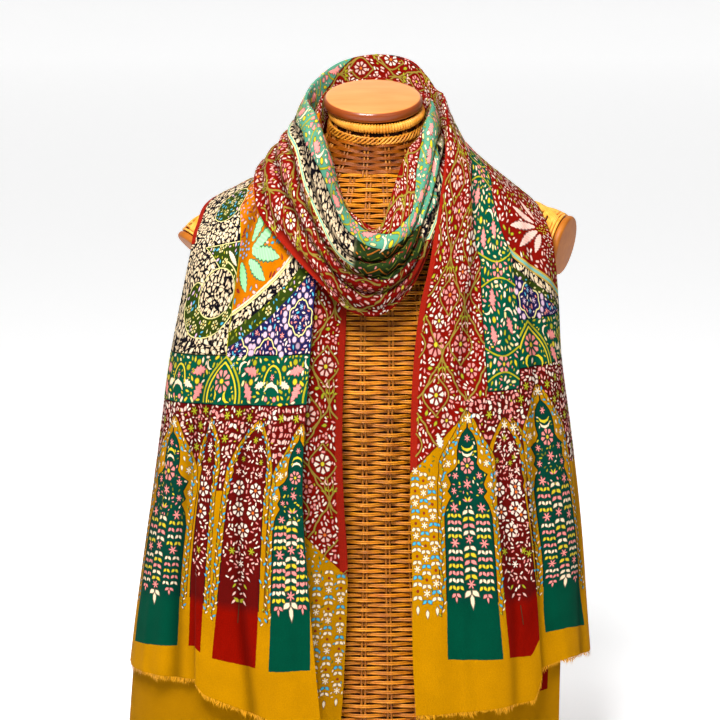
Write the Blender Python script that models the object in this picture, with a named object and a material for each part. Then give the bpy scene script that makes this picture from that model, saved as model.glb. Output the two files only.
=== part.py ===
"""Pashmina shawl wrapped once round the neck of a limbless wicker dress form.

All lengths are metres.  +Z is up, the front of the form looks along -Y and +X is the
viewer's right.  The dress form stands on its own flat bottom at Z = 0.

The shawl is one long band.  It runs from the hem of the left end, over the left
shoulder, round the nape, across the front as the cowl, round the nape again and down
over the right shoulder to the hem of the right end.  Each stretch is a wall of cloth
lofted through ribs, and a rib is five points across the cloth:
edge, crest, near, mid and far.
"""
import math

import bmesh
import bpy
import numpy as np
from mathutils import Vector

# ---- cloth -------------------------------------------------------------------------
WALL = 0.0018
SEAM = 0.0004
LEAF_GAP = 0.0050
FRONT_STAND_OFF = 0.0040
CLOSED_SHARE = 0.94
BODY_GAP = 0.0007

# ---- dress form --------------------------------------------------------------------
NECK_TILT = 0.32
NECK_TILT_START = 0.690
NECK_TOP = 0.7600
RING_HEIGHT = 0.0112
RING_RADIUS = 0.0560
RING_EDGE = 0.0040
CAP_HEIGHT = 0.0145
CAP_HALF_WIDTH = 0.0567
CAP_HALF_DEPTH = 0.0545
CAP_EDGE = 0.0060
CAP_SHIFT = -0.0040
FORM_SIDES = 40
DISC_SIDES = 32

# z, half width, front depth, back depth, squareness
TORSO_SECTIONS = (
    (0.000, 0.148, 0.102, 0.092, 2.3),
    (0.060, 0.158, 0.110, 0.102, 2.3),
    (0.150, 0.149, 0.107, 0.098, 2.3),
    (0.270, 0.124, 0.094, 0.080, 2.3),
    (0.370, 0.130, 0.102, 0.082, 2.3),
    (0.480, 0.152, 0.117, 0.092, 2.3),
    (0.560, 0.165, 0.109, 0.096, 2.3),
    (0.610, 0.175, 0.095, 0.092, 2.3),
    (0.640, 0.179, 0.085, 0.086, 2.3),
    (0.656, 0.174, 0.079, 0.081, 2.3),
    (0.667, 0.162, 0.075, 0.076, 2.3),
    (0.680, 0.141, 0.070, 0.072, 2.2),
    (0.694, 0.115, 0.066, 0.067, 2.1),
    (0.708, 0.090, 0.062, 0.063, 2.0),
    (0.724, 0.070, 0.058, 0.059, 2.0),
    (0.742, 0.059, 0.0555, 0.0565, 2.0),
    (0.760, 0.0555, 0.0545, 0.0550, 2.0),
)

# x, y, z of the centre, radius, downward turn in degrees
RIGHT_ARM = (
    (0.110, 0.000, 0.617, 0.041, 0.0),
    (0.176, -0.006, 0.621, 0.041, 8.0),
    (0.211, -0.014, 0.6135, 0.0345, 12.0),
)
LEFT_ARM = (
    (-0.110, 0.000, 0.616, 0.040, 0.0),
    (-0.172, -0.004, 0.620, 0.039, 20.0),
    (-0.199, -0.008, 0.608, 0.0335, 48.0),
)
ARM_SIDES = 20
ARM_FORWARD_TURN = 22.0
ARM_CAP_HEIGHT = 0.0095
ARM_CAP_EDGE = 0.0030
ARM_CAP_GROWTH = 0.0005

# ---- the shape the cloth falls over ------------------------------------------------
# z, left half width, right half width, front depth, back depth, squareness
DRAPE_SECTIONS = (
    (0.000, 0.300, 0.268, 0.124, 0.110, 2.3),
    (0.130, 0.287, 0.2505, 0.123, 0.108, 2.3),
    (0.262, 0.268, 0.239, 0.122, 0.104, 2.3),
    (0.362, 0.2535, 0.2285, 0.121, 0.102, 2.3),
    (0.477, 0.2385, 0.2125, 0.1185, 0.100, 2.3),
    (0.540, 0.232, 0.212, 0.1135, 0.099, 2.3),
    (0.590, 0.235, 0.222, 0.103, 0.097, 2.4),
    (0.622, 0.230, 0.217, 0.093, 0.093, 2.4),
    (0.660, 0.190, 0.180, 0.080, 0.082, 2.3),
)
ARC_STEPS = 24

# ---- hanging ends ------------------------------------------------------------------
# height, inner edge x and far edge angle of the front leaf, the same of the under leaf
LEFT_ROWS = (
    (0.105, -0.062, 86.0, -0.043, 84.0),
    (0.175, -0.069, 86.0, -0.037, 84.5),
    (0.262, -0.077, 86.0, -0.033, 86.0),
    (0.330, -0.081, 85.5, -0.037, 85.5),
    (0.401, -0.080, 85.0, -0.039, 85.0),
    (0.477, -0.075, 84.0, -0.037, 84.0),
    (0.551, -0.070, 79.0, -0.034, 79.0),
    (0.604, -0.066, 75.5, -0.034, 75.5),
)
RIGHT_ROWS = (
    (0.105, 0.044, 86.0, 0.057, 69.0),
    (0.175, 0.040, 86.0, 0.054, 71.0),
    (0.262, 0.039, 86.0, 0.052, 75.0),
    (0.330, 0.037, 85.5, 0.050, 79.0),
    (0.401, 0.037, 85.0, 0.048, 82.0),
    (0.477, 0.039, 84.0, 0.050, 84.0),
    (0.551, 0.046, 79.0, 0.056, 79.0),
    (0.604, 0.058, 75.0, 0.066, 75.0),
)
# share of the way across the leaf, height of the hem there
LEFT_HEM = ((0.0, 0.074), (0.20, 0.078), (0.36, 0.090), (0.50, 0.103), (0.55, 0.117), (1.0, 0.114))
RIGHT_HEM = ((0.0, 0.085), (0.30, 0.089), (0.53, 0.095), (0.58, 0.129), (0.72, 0.137), (1.0, 0.131))
LEFT_UNDER_HEM = ((0.0, 0.046), (0.40, 0.040), (0.52, 0.036), (1.0, 0.044))
RIGHT_UNDER_HEM = ((0.0, 0.040), (0.45, 0.038), (0.75, 0.046), (1.0, 0.052))
HEM_BLEND_TOP = 0.300
# share across, forward depth, half width, height where it starts, height where full
LEFT_PLEATS = ((0.525, 0.0100, 0.030, 0.450, 0.260),)
RIGHT_PLEATS = ((0.555, 0.0100, 0.030, 0.430, 0.240),)
UNDER_PLEATS = ((0.480, 0.0030, 0.050, 0.300, 0.120),)
# share across, forward depth, half width
LEFT_FOLDS = ((0.15, 0.0055, 0.065), (0.34, -0.0020, 0.050), (0.72, 0.0040, 0.060))
RIGHT_FOLDS = ((0.10, 0.0030, 0.050), (0.36, 0.0045, 0.070), (0.74, 0.0040, 0.060))
FOLD_TOP = 0.600
FOLD_FULL = 0.420
# extra stand-off of the right end's inner edge where it leaves the cowl
EDGE_LIFT = 0.0130
EDGE_LIFT_WIDTH = 0.300
EDGE_LIFT_BOTTOM = 0.500

# ---- ribs round the neck: angle, then radius and height of the five points ----------
# angle 0 looks to the front, positive to the viewer's right, 180 is the nape
INNER_PASS = (
    (-122, .0625, .758, .0670, .786, .0745, .766, .0850, .733, .1220, .679),
    (-150, .0620, .760, .0665, .795, .0750, .768, .0785, .735, .1000, .678),
    (-180, .0625, .762, .0665, .800, .0750, .770, .0775, .738, .0880, .684),
    (-210, .0620, .758, .0655, .793, .0735, .766, .0780, .735, .0940, .686),
    (-242, .0607, .752, .0642, .781, .0710, .760, .0775, .733, .1020, .698),
)
COWL = (
    (90, .0607, .748, .0640, .775, .0695, .757, .0750, .733, .0960, .716),
    (66, .0600, .740, .0675, .768, .0770, .752, .0860, .725, .1060, .699),
    (47, .0630, .736, .0780, .758, .0885, .742, .1000, .703, .1160, .668),
    (31, .0650, .724, .0920, .708, .1035, .692, .1150, .660, .1230, .630),
    (16, .0740, .688, .1090, .655, .1190, .641, .1310, .606, .1370, .579),
    (2, .0940, .643, .1210, .637, .1320, .620, .1400, .587, .1400, .551),
    (-12, .0950, .652, .1190, .640, .1330, .624, .1430, .592, .1450, .555),
    (-26, .0840, .670, .1030, .678, .1220, .660, .1410, .626, .1500, .587),
    (-42, .0735, .712, .0890, .730, .1060, .710, .1310, .671, .1540, .624),
    (-58, .0710, .736, .0820, .764, .0960, .746, .1200, .706, .1560, .657),
    (-76, .0760, .748, .0810, .776, .0920, .758, .1130, .724, .1440, .690),
    (-98, .0780, .754, .0810, .783, .0910, .763, .1080, .737, .1350, .704),
)
OUTER_PASS = (
    (-120, .0785, .762, .0820, .797, .0920, .774, .1040, .740, .1330, .697),
    (-150, .0795, .774, .0835, .817, .0930, .790, .0980, .744, .1180, .666),
    (-180, .0795, .776, .0835, .825, .0935, .796, .0970, .746, .1080, .658),
    (-210, .0785, .772, .0830, .818, .0925, .790, .0975, .742, .1180, .664),
    (-238, .0765, .758, .0795, .789, .0885, .768, .1020, .732, .1400, .677),
)
# shoulder and chest ribs of the ends: angle, radius and height of each point
RIGHT_SHOULDER = (
    ((88, .0735, .752), (88, .0772, .780), (88, .0855, .761), (90, .1080, .724), (92, .1740, .6685)),
    ((50, .1010, .722), (52, .1050, .724), (56, .1110, .719), (66, .1400, .694), (75, .2010, .640)),
)
LEFT_SHOULDER = (
    ((-52, .0830, .704), (-53, .0855, .706), (-56, .0930, .702), (-66, .1330, .682), (-76, .2120, .638)),
    ((-93, .0618, .746), (-93, .0658, .768), (-93, .0735, .751), (-94, .0960, .714), (-94, .1860, .666)),
)
RIB_PLACES = (0.0, 0.10, 0.22, 0.56, 1.0)
# folds that run along the cowl and the outer pass: share across, outward depth, half width
COWL_FOLDS = (
    (0.38, -0.0035, 0.055),
    (0.50, 0.0025, 0.060),
    (0.64, -0.0035, 0.060),
    (0.80, 0.0030, 0.070),
)

NAPE_FOLDS = (
    (0.36, -0.0025, 0.060),
    (0.52, 0.0025, 0.070),
    (0.70, -0.0025, 0.070),
    (0.86, 0.0020, 0.070),
)

# ---- mesh steps --------------------------------------------------------------------
ALONG_PASS = 10
ALONG_COWL = 28
ALONG_END = 26
ALONG_UNDER = 10
# shares across the cloth that carry a line of the mesh, closer where it rolls or pleats
NECK_SHARES = (0, .04, .07, .10, .13, .17, .22, .30, .38, .46, .55, .64, .75, .87, 1)
END_SHARES = (0, .03, .06, .09, .12, .16, .21, .27, .33, .39, .45, .495, .52, .545, .57, .60, .66,
              .72, .78, .84, .89, .93, .965, 1)
UNDER_SHARES = (0, .08, .17, .26, .35, .43, .48, .53, .61, .70, .79, .87, .94, 1)

COLOURS = {
    "shawl_cloth": (0.30, 0.035, 0.022),
    "wicker": (0.52, 0.24, 0.05),
    "varnished_wood": (0.68, 0.24, 0.07),
}


# ---- curves ------------------------------------------------------------------------
def curve(knots, values, at):
    """Smooth curve through rows of values that stand at increasing knots."""
    if at <= knots[0]:
        return np.array(values[0], dtype=float)
    if at >= knots[-1]:
        return np.array(values[-1], dtype=float)
    step = 0
    while at > knots[step + 1]:
        step += 1
    slopes = []
    for row in (step, step + 1):
        low = max(row - 1, 0)
        high = min(row + 1, len(knots) - 1)
        slopes.append(np.subtract(values[high], values[low]) / (knots[high] - knots[low]))
    span = knots[step + 1] - knots[step]
    u = (at - knots[step]) / span
    rise = u * u * (3 - 2 * u)
    start = np.array(values[step], dtype=float)
    bend = u * (1 - u) * span * ((1 - u) * slopes[0] - u * slopes[1])
    return start + rise * np.subtract(values[step + 1], values[step]) + bend


def table_at(table, at):
    knots = [row[0] for row in table]
    return curve(knots, [row[1:] for row in table], at)


def ramp(value, start, end):
    """Smooth rise from 0 at start to 1 at end."""
    u = min(max((value - start) / (end - start), 0.0), 1.0)
    return u * u * (3 - 2 * u)


def polar(degrees, radius, height):
    angle = math.radians(degrees)
    return np.array((radius * math.sin(angle), -radius * math.cos(angle), height))


def section_radius(angle, left, right, front, back, square):
    """Radius of a rounded section at an angle from the front."""
    side = right if math.sin(angle) >= 0 else left
    depth = front if math.cos(angle) >= 0 else back
    sine = abs(math.sin(angle)) / side
    cosine = abs(math.cos(angle)) / depth
    return (sine ** square + cosine ** square) ** (-1 / square)


# ---- the shape the cloth falls over ------------------------------------------------
def drape_point(angle, height):
    radius = section_radius(angle, *table_at(DRAPE_SECTIONS, height))
    return polar(math.degrees(angle), radius, height)


def drape_offset(angle, height, distance):
    """Point at a distance along the outward normal of the drape shape."""
    small = 1e-3
    around = drape_point(angle + small, height) - drape_point(angle - small, height)
    upward = drape_point(angle, height + small) - drape_point(angle, height - small)
    normal = np.cross(around, upward)
    return drape_point(angle, height) + normal * distance / np.linalg.norm(normal)


def drape_angle(x, height):
    """Angle at which the front of the drape shape has the given x."""
    left, right, front, _back, square = table_at(DRAPE_SECTIONS, height)
    side = right if x >= 0 else left
    return math.atan2(x, front * (1 - (abs(x) / side) ** square) ** (1 / square))


def angle_across(inner_x, far_angle, height, across):
    """Angle at a share of the arc from the inner edge to the far edge."""
    far = math.copysign(math.radians(far_angle), inner_x)
    angles = np.linspace(drape_angle(inner_x, height), far, ARC_STEPS + 1)
    points = np.array([drape_point(angle, height) for angle in angles])
    steps = np.linalg.norm(np.diff(points, axis=0), axis=1)
    reach = np.concatenate(((0.0,), np.cumsum(steps)))
    return float(np.interp(across * reach[-1], reach, angles))


# ---- folds and hems ----------------------------------------------------------------
def pleat_depth(pleats, across, height):
    """The cloth inside a pleat line stands forward of the cloth outside it."""
    depth = 0.0
    for place, forward, half_width, start, full in pleats:
        inside = 1 - ramp(across, place - half_width, place + half_width)
        depth += forward * inside * (1 - ramp(height, full, start))
    return depth


def fold_depth(folds, across):
    depth = 0.0
    for place, forward, half_width in folds:
        depth += forward * math.exp(-((across - place) / half_width) ** 2)
    return depth


def hem_change(hem, across, height, bottom):
    """Bend the lowest rows of a leaf to the line of its hem."""
    target = np.interp(across, [row[0] for row in hem], [row[1] for row in hem])
    return (target - bottom) * (1 - ramp(height, bottom, HEM_BLEND_TOP))


class Leaf:
    """One hanging leaf of an end, described by its tables."""

    def __init__(self, rows, column, hem, pleats, folds, front, lift):
        self.rows = rows
        self.column = column
        self.hem = hem
        self.pleats = pleats
        self.folds = folds
        self.front = front
        self.lift = lift

    def distance(self, across, height):
        """Distance from the drape shape; the two leaves close up at the far edge."""
        distance = BODY_GAP + WALL / 2
        if not self.front:
            return distance + pleat_depth(self.pleats, across, height)
        opening = 1 - CLOSED_SHARE * ramp(across, 0.85, 1.0)
        relief = LEAF_GAP + FRONT_STAND_OFF
        relief += fold_depth(self.folds, across) * (1 - ramp(height, FOLD_FULL, FOLD_TOP))
        relief += pleat_depth(self.pleats, across, height)
        edge = 1 - ramp(across, 0.0, EDGE_LIFT_WIDTH)
        relief += self.lift * edge * ramp(height, EDGE_LIFT_BOTTOM, self.rows[-1][0])
        return distance + WALL + SEAM + relief * opening

    def point(self, across, height):
        row = table_at(self.rows, height)
        level = height + hem_change(self.hem, across, height, self.rows[0][0])
        angle = angle_across(row[self.column], row[self.column + 1], level, across)
        return drape_offset(angle, level, self.distance(across, height))


# ---- ribs and bands ----------------------------------------------------------------
def point_rib(points):
    """Rib through five points across the cloth."""
    placed = [polar(*point) for point in points]
    return lambda across: curve(RIB_PLACES, placed, across)


def turned_rib(row):
    """Rib in the upright plane at one angle round the neck."""
    pairs = zip(row[1::2], row[2::2])
    return point_rib([(row[0], radius, height) for radius, height in pairs])


def leaf_rib(leaf, height):
    return lambda across: leaf.point(across, height)


class Band:
    """Cloth through a run of ribs, measured by the distance from rib to rib."""

    def __init__(self, ribs):
        self.ribs = ribs
        self.knots = [0.0]
        for first, second in zip(ribs, ribs[1:]):
            spans = [np.linalg.norm(second(share) - first(share)) for share in (0.15, 0.5, 0.85)]
            self.knots.append(self.knots[-1] + sum(spans) / len(spans))

    def column(self, across):
        """Function that gives the point at a distance along one line of the band."""
        points = [rib(across) for rib in self.ribs]
        return lambda place: curve(self.knots, points, place)

    def stretch(self, first, last, along_steps, shares, start_trim, end_trim, folds):
        """Points and normals of the cloth between two of the ribs."""
        small = 1e-4
        places = np.linspace(self.knots[first] + start_trim, self.knots[last] - end_trim,
                             along_steps + 1)
        lines = []
        for across in shares:
            middle = self.column(across)
            before = self.column(max(across - small, 0))
            after = self.column(min(across + small, 1))
            line = []
            for place in places:
                along = middle(place + small) - middle(place - small)
                normal = np.cross(along, after(place) - before(place))
                normal = normal / np.linalg.norm(normal)
                share = (place - self.knots[first]) / (self.knots[last] - self.knots[first])
                relief = math.sin(math.pi * share) ** 2 * fold_depth(folds, across)
                line.append((middle(place) + normal * relief, normal))
            lines.append(line)
        rows = list(zip(*lines))
        points = np.array([[pair[0] for pair in row] for row in rows])
        normals = np.array([[pair[1] for pair in row] for row in rows])
        return points, normals


# ---- meshes ------------------------------------------------------------------------
def make_object(name, slot, vertices, faces):
    mesh = bpy.data.meshes.new(name)
    mesh.from_pydata([tuple(map(float, vertex)) for vertex in vertices], [], faces)
    work = bmesh.new()
    work.from_mesh(mesh)
    bmesh.ops.recalc_face_normals(work, faces=work.faces)
    bmesh.ops.triangulate(work, faces=work.faces)
    work.to_mesh(mesh)
    work.free()
    mesh.materials.append(bpy.data.materials[slot])
    mesh.shade_smooth()
    mesh.set_sharp_from_angle(angle=math.radians(40))
    part = bpy.data.objects.new(name, mesh)
    bpy.context.scene.collection.objects.link(part)
    return part


def cloth_wall(name, points, normals):
    """Closed wall of cloth with the points on its middle surface."""
    rows, columns = points.shape[:2]
    outer = (points + normals * WALL / 2).reshape(-1, 3)
    inner = (points - normals * WALL / 2).reshape(-1, 3)
    count = rows * columns
    faces = []
    for row in range(rows - 1):
        for column in range(columns - 1):
            a = row * columns + column
            b = a + 1
            c = a + columns + 1
            d = a + columns
            faces.append((a, b, c, d))
            faces.append((a + count, d + count, c + count, b + count))
    border = [column for column in range(columns)]
    border += [row * columns + columns - 1 for row in range(1, rows)]
    border += [(rows - 1) * columns + column for column in range(columns - 2, -1, -1)]
    border += [row * columns for row in range(rows - 2, 0, -1)]
    for first, second in zip(border, border[1:] + border[:1]):
        faces.append((second, first, first + count, second + count))
    return make_object(name, "shawl_cloth", np.vstack((outer, inner)), faces)


def ring_solid(name, slot, rings):
    """Closed solid skinned over rings of equal count, capped at both ends."""
    sides = len(rings[0])
    vertices = [point for ring in rings for point in ring]
    faces = []
    for row in range(len(rings) - 1):
        for side in range(sides):
            after = (side + 1) % sides
            low = row * sides
            high = low + sides
            faces.append((low + side, low + after, high + after, high + side))
    faces.append(tuple(range(sides - 1, -1, -1)))
    last = (len(rings) - 1) * sides
    faces.append(tuple(last + side for side in range(sides)))
    return make_object(name, slot, vertices, faces)


# ---- dress form --------------------------------------------------------------------
def tilted(point, share):
    """The neck leans so that its back stands higher than its front."""
    return np.array((point[0], point[1], point[2] + point[1] * NECK_TILT * share))


def torso_ring(row):
    height, half_width, front, back, square = row
    share = ramp(height, NECK_TILT_START, NECK_TOP)
    ring = []
    for side in range(FORM_SIDES):
        degrees = 360 * side / FORM_SIDES
        radius = section_radius(math.radians(degrees), half_width, half_width, front, back, square)
        ring.append(tilted(polar(degrees, radius, height), share))
    return ring


def arm_rings(path, forward):
    """Rings of an arm stub that turns down and forward to its end."""
    rings = []
    outward = math.copysign(1.0, path[0][0])
    for place, (x, y, z, radius, turn) in enumerate(path):
        down = math.radians(turn)
        ahead = math.radians(forward) * place / (len(path) - 1)
        axis = Vector((outward * math.cos(down) * math.cos(ahead),
                       -math.sin(ahead) * math.cos(down), -math.sin(down)))
        level = Vector((0, 0, 1)).cross(axis).normalized()
        upright = axis.cross(level)
        ring = []
        for side in range(ARM_SIDES):
            angle = 2 * math.pi * side / ARM_SIDES
            offset = level * math.cos(angle) + upright * math.sin(angle)
            ring.append(np.array(Vector((x, y, z)) + offset * radius))
        rings.append(ring)
    return rings, Vector(path[-1][:3]), axis


def join_to(target, tool):
    modifier = target.modifiers.new("join", "BOOLEAN")
    modifier.operation = "UNION"
    modifier.solver = "EXACT"
    modifier.object = tool
    view = bpy.context.evaluated_depsgraph_get()
    mesh = bpy.data.meshes.new_from_object(target.evaluated_get(view))
    target.modifiers.remove(modifier)
    target.data = mesh
    bpy.data.objects.remove(tool)


def disc(name, slot, centre, axis, radii, height, edge, side_axis):
    """Round plate with softened edges, standing on its centre point along its axis."""
    level = side_axis.normalized()
    other = axis.cross(level).normalized()
    steps = ((0.0, -edge), (edge, 0.0), (height - edge, 0.0), (height - 0.3 * edge, -0.3 * edge),
             (height, -edge))
    rings = []
    for rise, growth in steps:
        ring = []
        for side in range(DISC_SIDES):
            angle = 2 * math.pi * side / DISC_SIDES
            reach = level * math.cos(angle) * (radii[0] + growth)
            reach += other * math.sin(angle) * (radii[1] + growth)
            ring.append(np.array(centre + axis * rise + reach))
        rings.append(ring)
    return ring_solid(name, slot, rings)


def build_form():
    heights = [row[0] for row in TORSO_SECTIONS]
    middles = [(low + high) / 2 for low, high in zip(heights, heights[1:]) if high - low > 0.05]
    levels = sorted(heights + middles)
    rows = [(level, *table_at(TORSO_SECTIONS, level)) for level in levels]
    torso = ring_solid("form_torso", "wicker", [torso_ring(row) for row in rows])
    for side, path in (("right", RIGHT_ARM), ("left", LEFT_ARM)):
        rings, centre, axis = arm_rings(path, ARM_FORWARD_TURN)
        join_to(torso, ring_solid("arm", "wicker", rings))
        radius = path[-1][3] + ARM_CAP_GROWTH
        disc("arm_cap_" + side, "varnished_wood", centre + axis * SEAM, axis, (radius, radius),
             ARM_CAP_HEIGHT, ARM_CAP_EDGE, Vector((0, 0, 1)).cross(axis))
    lean = Vector((0, -NECK_TILT, 1)).normalized()
    across = Vector((1, 0, 0))
    foot = Vector((0, 0, NECK_TOP)) + lean * SEAM
    disc("neck_ring", "wicker", foot, lean, (RING_RADIUS, RING_RADIUS * 1.03), RING_HEIGHT,
         RING_EDGE, across)
    foot = foot + lean * (RING_HEIGHT + SEAM) + across * CAP_SHIFT
    disc("neck_cap", "varnished_wood", foot, lean, (CAP_HALF_WIDTH, CAP_HALF_DEPTH), CAP_HEIGHT,
         CAP_EDGE, across)


# ---- shawl -------------------------------------------------------------------------
def build_under(name, rows, hem):
    leaf = Leaf(rows, 2, hem, UNDER_PLEATS, (), False, 0.0)
    band = Band([leaf_rib(leaf, row[0]) for row in rows])
    wall = band.stretch(0, len(rows) - 1, ALONG_UNDER, UNDER_SHARES, 0, 0, ())
    cloth_wall(name, *wall)


def build_shawl():
    left = Leaf(LEFT_ROWS, 0, LEFT_HEM, LEFT_PLEATS, LEFT_FOLDS, True, 0.0)
    right = Leaf(RIGHT_ROWS, 0, RIGHT_HEM, RIGHT_PLEATS, RIGHT_FOLDS, True, EDGE_LIFT)
    left_ribs = [leaf_rib(left, row[0]) for row in LEFT_ROWS]
    left_ribs += [point_rib(points) for points in LEFT_SHOULDER]
    right_ribs = [point_rib(points) for points in RIGHT_SHOULDER]
    right_ribs += [leaf_rib(right, row[0]) for row in reversed(RIGHT_ROWS)]
    neck_ribs = [turned_rib(row) for row in INNER_PASS + COWL + OUTER_PASS]
    shawl = Band(left_ribs + neck_ribs + right_ribs)
    inner_start = len(left_ribs)
    inner_end = inner_start + len(INNER_PASS) - 1
    outer_start = inner_end + len(COWL) + 1
    outer_end = outer_start + len(OUTER_PASS) - 1
    hem = len(shawl.ribs) - 1
    half = SEAM / 2
    for name, first, last, along, shares, trims, folds in (
        ("left_end_front", 0, inner_start, ALONG_END, END_SHARES, (0, half), ()),
        ("nape_inner_pass", inner_start, inner_end, ALONG_PASS, NECK_SHARES, (half, half), ()),
        ("cowl", inner_end, outer_start, ALONG_COWL, NECK_SHARES, (half, half), COWL_FOLDS),
        ("nape_outer_pass", outer_start, outer_end, ALONG_PASS, NECK_SHARES, (half, half), NAPE_FOLDS),
        ("right_end_front", outer_end, hem, ALONG_END, END_SHARES, (half, 0), ()),
    ):
        wall = shawl.stretch(first, last, along, shares, *trims, folds)
        cloth_wall(name, *wall)
    build_under("left_end_under", LEFT_ROWS, LEFT_UNDER_HEM)
    build_under("right_end_under", RIGHT_ROWS, RIGHT_UNDER_HEM)


def main():
    for thing in list(bpy.data.objects):
        bpy.data.objects.remove(thing)
    for slot, colour in COLOURS.items():
        material = bpy.data.materials.new(slot)
        material.use_nodes = True
        shader = material.node_tree.nodes["Principled BSDF"]
        shader.inputs["Base Color"].default_value = (*colour, 1.0)
        shader.inputs["Roughness"].default_value = 0.25 if slot == "varnished_wood" else 0.8
    build_form()
    build_shawl()


main()
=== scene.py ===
"""Looks of a patterned pashmina shawl that is wrapped round a limbless wicker dress form.

The shawl has one flat frame for its pattern, in metres: x runs along the cloth from the
hem of the left end to the hem of the right end, and y runs across it from the edge at the
neck.  The cloth's UV map holds that frame, and the embroidery is laid out in it.
"""
import functools
import math
import random

import bmesh
import bpy
import numpy as np
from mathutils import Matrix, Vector


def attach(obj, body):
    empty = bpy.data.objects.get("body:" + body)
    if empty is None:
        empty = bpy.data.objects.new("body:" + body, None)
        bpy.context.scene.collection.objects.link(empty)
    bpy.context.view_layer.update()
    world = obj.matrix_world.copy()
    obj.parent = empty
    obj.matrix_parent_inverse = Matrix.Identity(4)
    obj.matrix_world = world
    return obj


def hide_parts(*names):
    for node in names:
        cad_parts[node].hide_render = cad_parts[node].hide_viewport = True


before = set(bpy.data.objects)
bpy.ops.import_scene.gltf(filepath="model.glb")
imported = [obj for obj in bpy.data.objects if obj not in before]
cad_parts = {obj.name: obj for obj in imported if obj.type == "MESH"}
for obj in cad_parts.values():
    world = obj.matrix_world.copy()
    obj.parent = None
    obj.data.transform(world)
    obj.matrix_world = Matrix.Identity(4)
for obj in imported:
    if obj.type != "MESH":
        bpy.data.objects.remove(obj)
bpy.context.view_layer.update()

bl_info = {
    "name": "Pashmina shawl",
    "version": (1, 0, 0),
    "blender": (4, 5, 0),
    "location": "View3D > Sidebar > Shawl",
    "description": "Builds an embroidered pashmina shawl on a wicker dress form",
    "category": "Object",
}

# ---- cloth sizes, the same as the solids' ---------------------------------------------
WALL = 0.0018
SEAM = 0.0004
LEAF_GAP = 0.0050
FRONT_STAND_OFF = 0.0040
CLOSED_SHARE = 0.94
BODY_GAP = 0.0007

# z, half width, front depth, back depth, squareness
TORSO_SECTIONS = (
    (0.000, 0.148, 0.102, 0.092, 2.3),
    (0.060, 0.158, 0.110, 0.102, 2.3),
    (0.150, 0.149, 0.107, 0.098, 2.3),
    (0.270, 0.124, 0.094, 0.080, 2.3),
    (0.370, 0.130, 0.102, 0.082, 2.3),
    (0.480, 0.152, 0.117, 0.092, 2.3),
    (0.560, 0.165, 0.109, 0.096, 2.3),
    (0.610, 0.175, 0.095, 0.092, 2.3),
    (0.640, 0.179, 0.085, 0.086, 2.3),
    (0.656, 0.174, 0.079, 0.081, 2.3),
    (0.667, 0.162, 0.075, 0.076, 2.3),
    (0.680, 0.141, 0.070, 0.072, 2.2),
    (0.694, 0.115, 0.066, 0.067, 2.1),
    (0.708, 0.090, 0.062, 0.063, 2.0),
    (0.724, 0.070, 0.058, 0.059, 2.0),
    (0.742, 0.059, 0.0555, 0.0565, 2.0),
    (0.760, 0.0555, 0.0545, 0.0550, 2.0),
)
NECK_TILT = 0.32
NECK_TILT_START = 0.690
NECK_TOP = 0.7600
RING_HEIGHT = 0.0112
RING_RADIUS = 0.0560
CAP_HEIGHT = 0.0145
CAP_HALF_WIDTH = 0.0567
CAP_HALF_DEPTH = 0.0545
CAP_SHIFT = -0.0040
# x, y, z of the centre, radius, downward turn in degrees
RIGHT_ARM = (
    (0.110, 0.000, 0.617, 0.041, 0.0),
    (0.176, -0.006, 0.621, 0.041, 8.0),
    (0.211, -0.014, 0.6135, 0.0345, 12.0),
)
LEFT_ARM = (
    (-0.110, 0.000, 0.616, 0.040, 0.0),
    (-0.172, -0.004, 0.620, 0.039, 20.0),
    (-0.199, -0.008, 0.608, 0.0335, 48.0),
)
ARM_FORWARD_TURN = 22.0
ARM_CAP_HEIGHT = 0.0095

# z, left half width, right half width, front depth, back depth, squareness
DRAPE_SECTIONS = (
    (0.000, 0.300, 0.268, 0.124, 0.110, 2.3),
    (0.130, 0.287, 0.2505, 0.123, 0.108, 2.3),
    (0.262, 0.268, 0.239, 0.122, 0.104, 2.3),
    (0.362, 0.2535, 0.2285, 0.121, 0.102, 2.3),
    (0.477, 0.2385, 0.2125, 0.1185, 0.100, 2.3),
    (0.540, 0.232, 0.212, 0.1135, 0.099, 2.3),
    (0.590, 0.235, 0.222, 0.103, 0.097, 2.4),
    (0.622, 0.230, 0.217, 0.093, 0.093, 2.4),
    (0.660, 0.190, 0.180, 0.080, 0.082, 2.3),
)
# height, inner edge x and far edge angle of the front leaf, the same of the under leaf
LEFT_ROWS = (
    (0.105, -0.062, 86.0, -0.043, 84.0),
    (0.175, -0.069, 86.0, -0.037, 84.5),
    (0.262, -0.077, 86.0, -0.033, 86.0),
    (0.330, -0.081, 85.5, -0.037, 85.5),
    (0.401, -0.080, 85.0, -0.039, 85.0),
    (0.477, -0.075, 84.0, -0.037, 84.0),
    (0.551, -0.070, 79.0, -0.034, 79.0),
    (0.604, -0.066, 75.5, -0.034, 75.5),
)
RIGHT_ROWS = (
    (0.105, 0.044, 86.0, 0.057, 69.0),
    (0.175, 0.040, 86.0, 0.054, 71.0),
    (0.262, 0.039, 86.0, 0.052, 75.0),
    (0.330, 0.037, 85.5, 0.050, 79.0),
    (0.401, 0.037, 85.0, 0.048, 82.0),
    (0.477, 0.039, 84.0, 0.050, 84.0),
    (0.551, 0.046, 79.0, 0.056, 79.0),
    (0.604, 0.058, 75.0, 0.066, 75.0),
)
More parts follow.
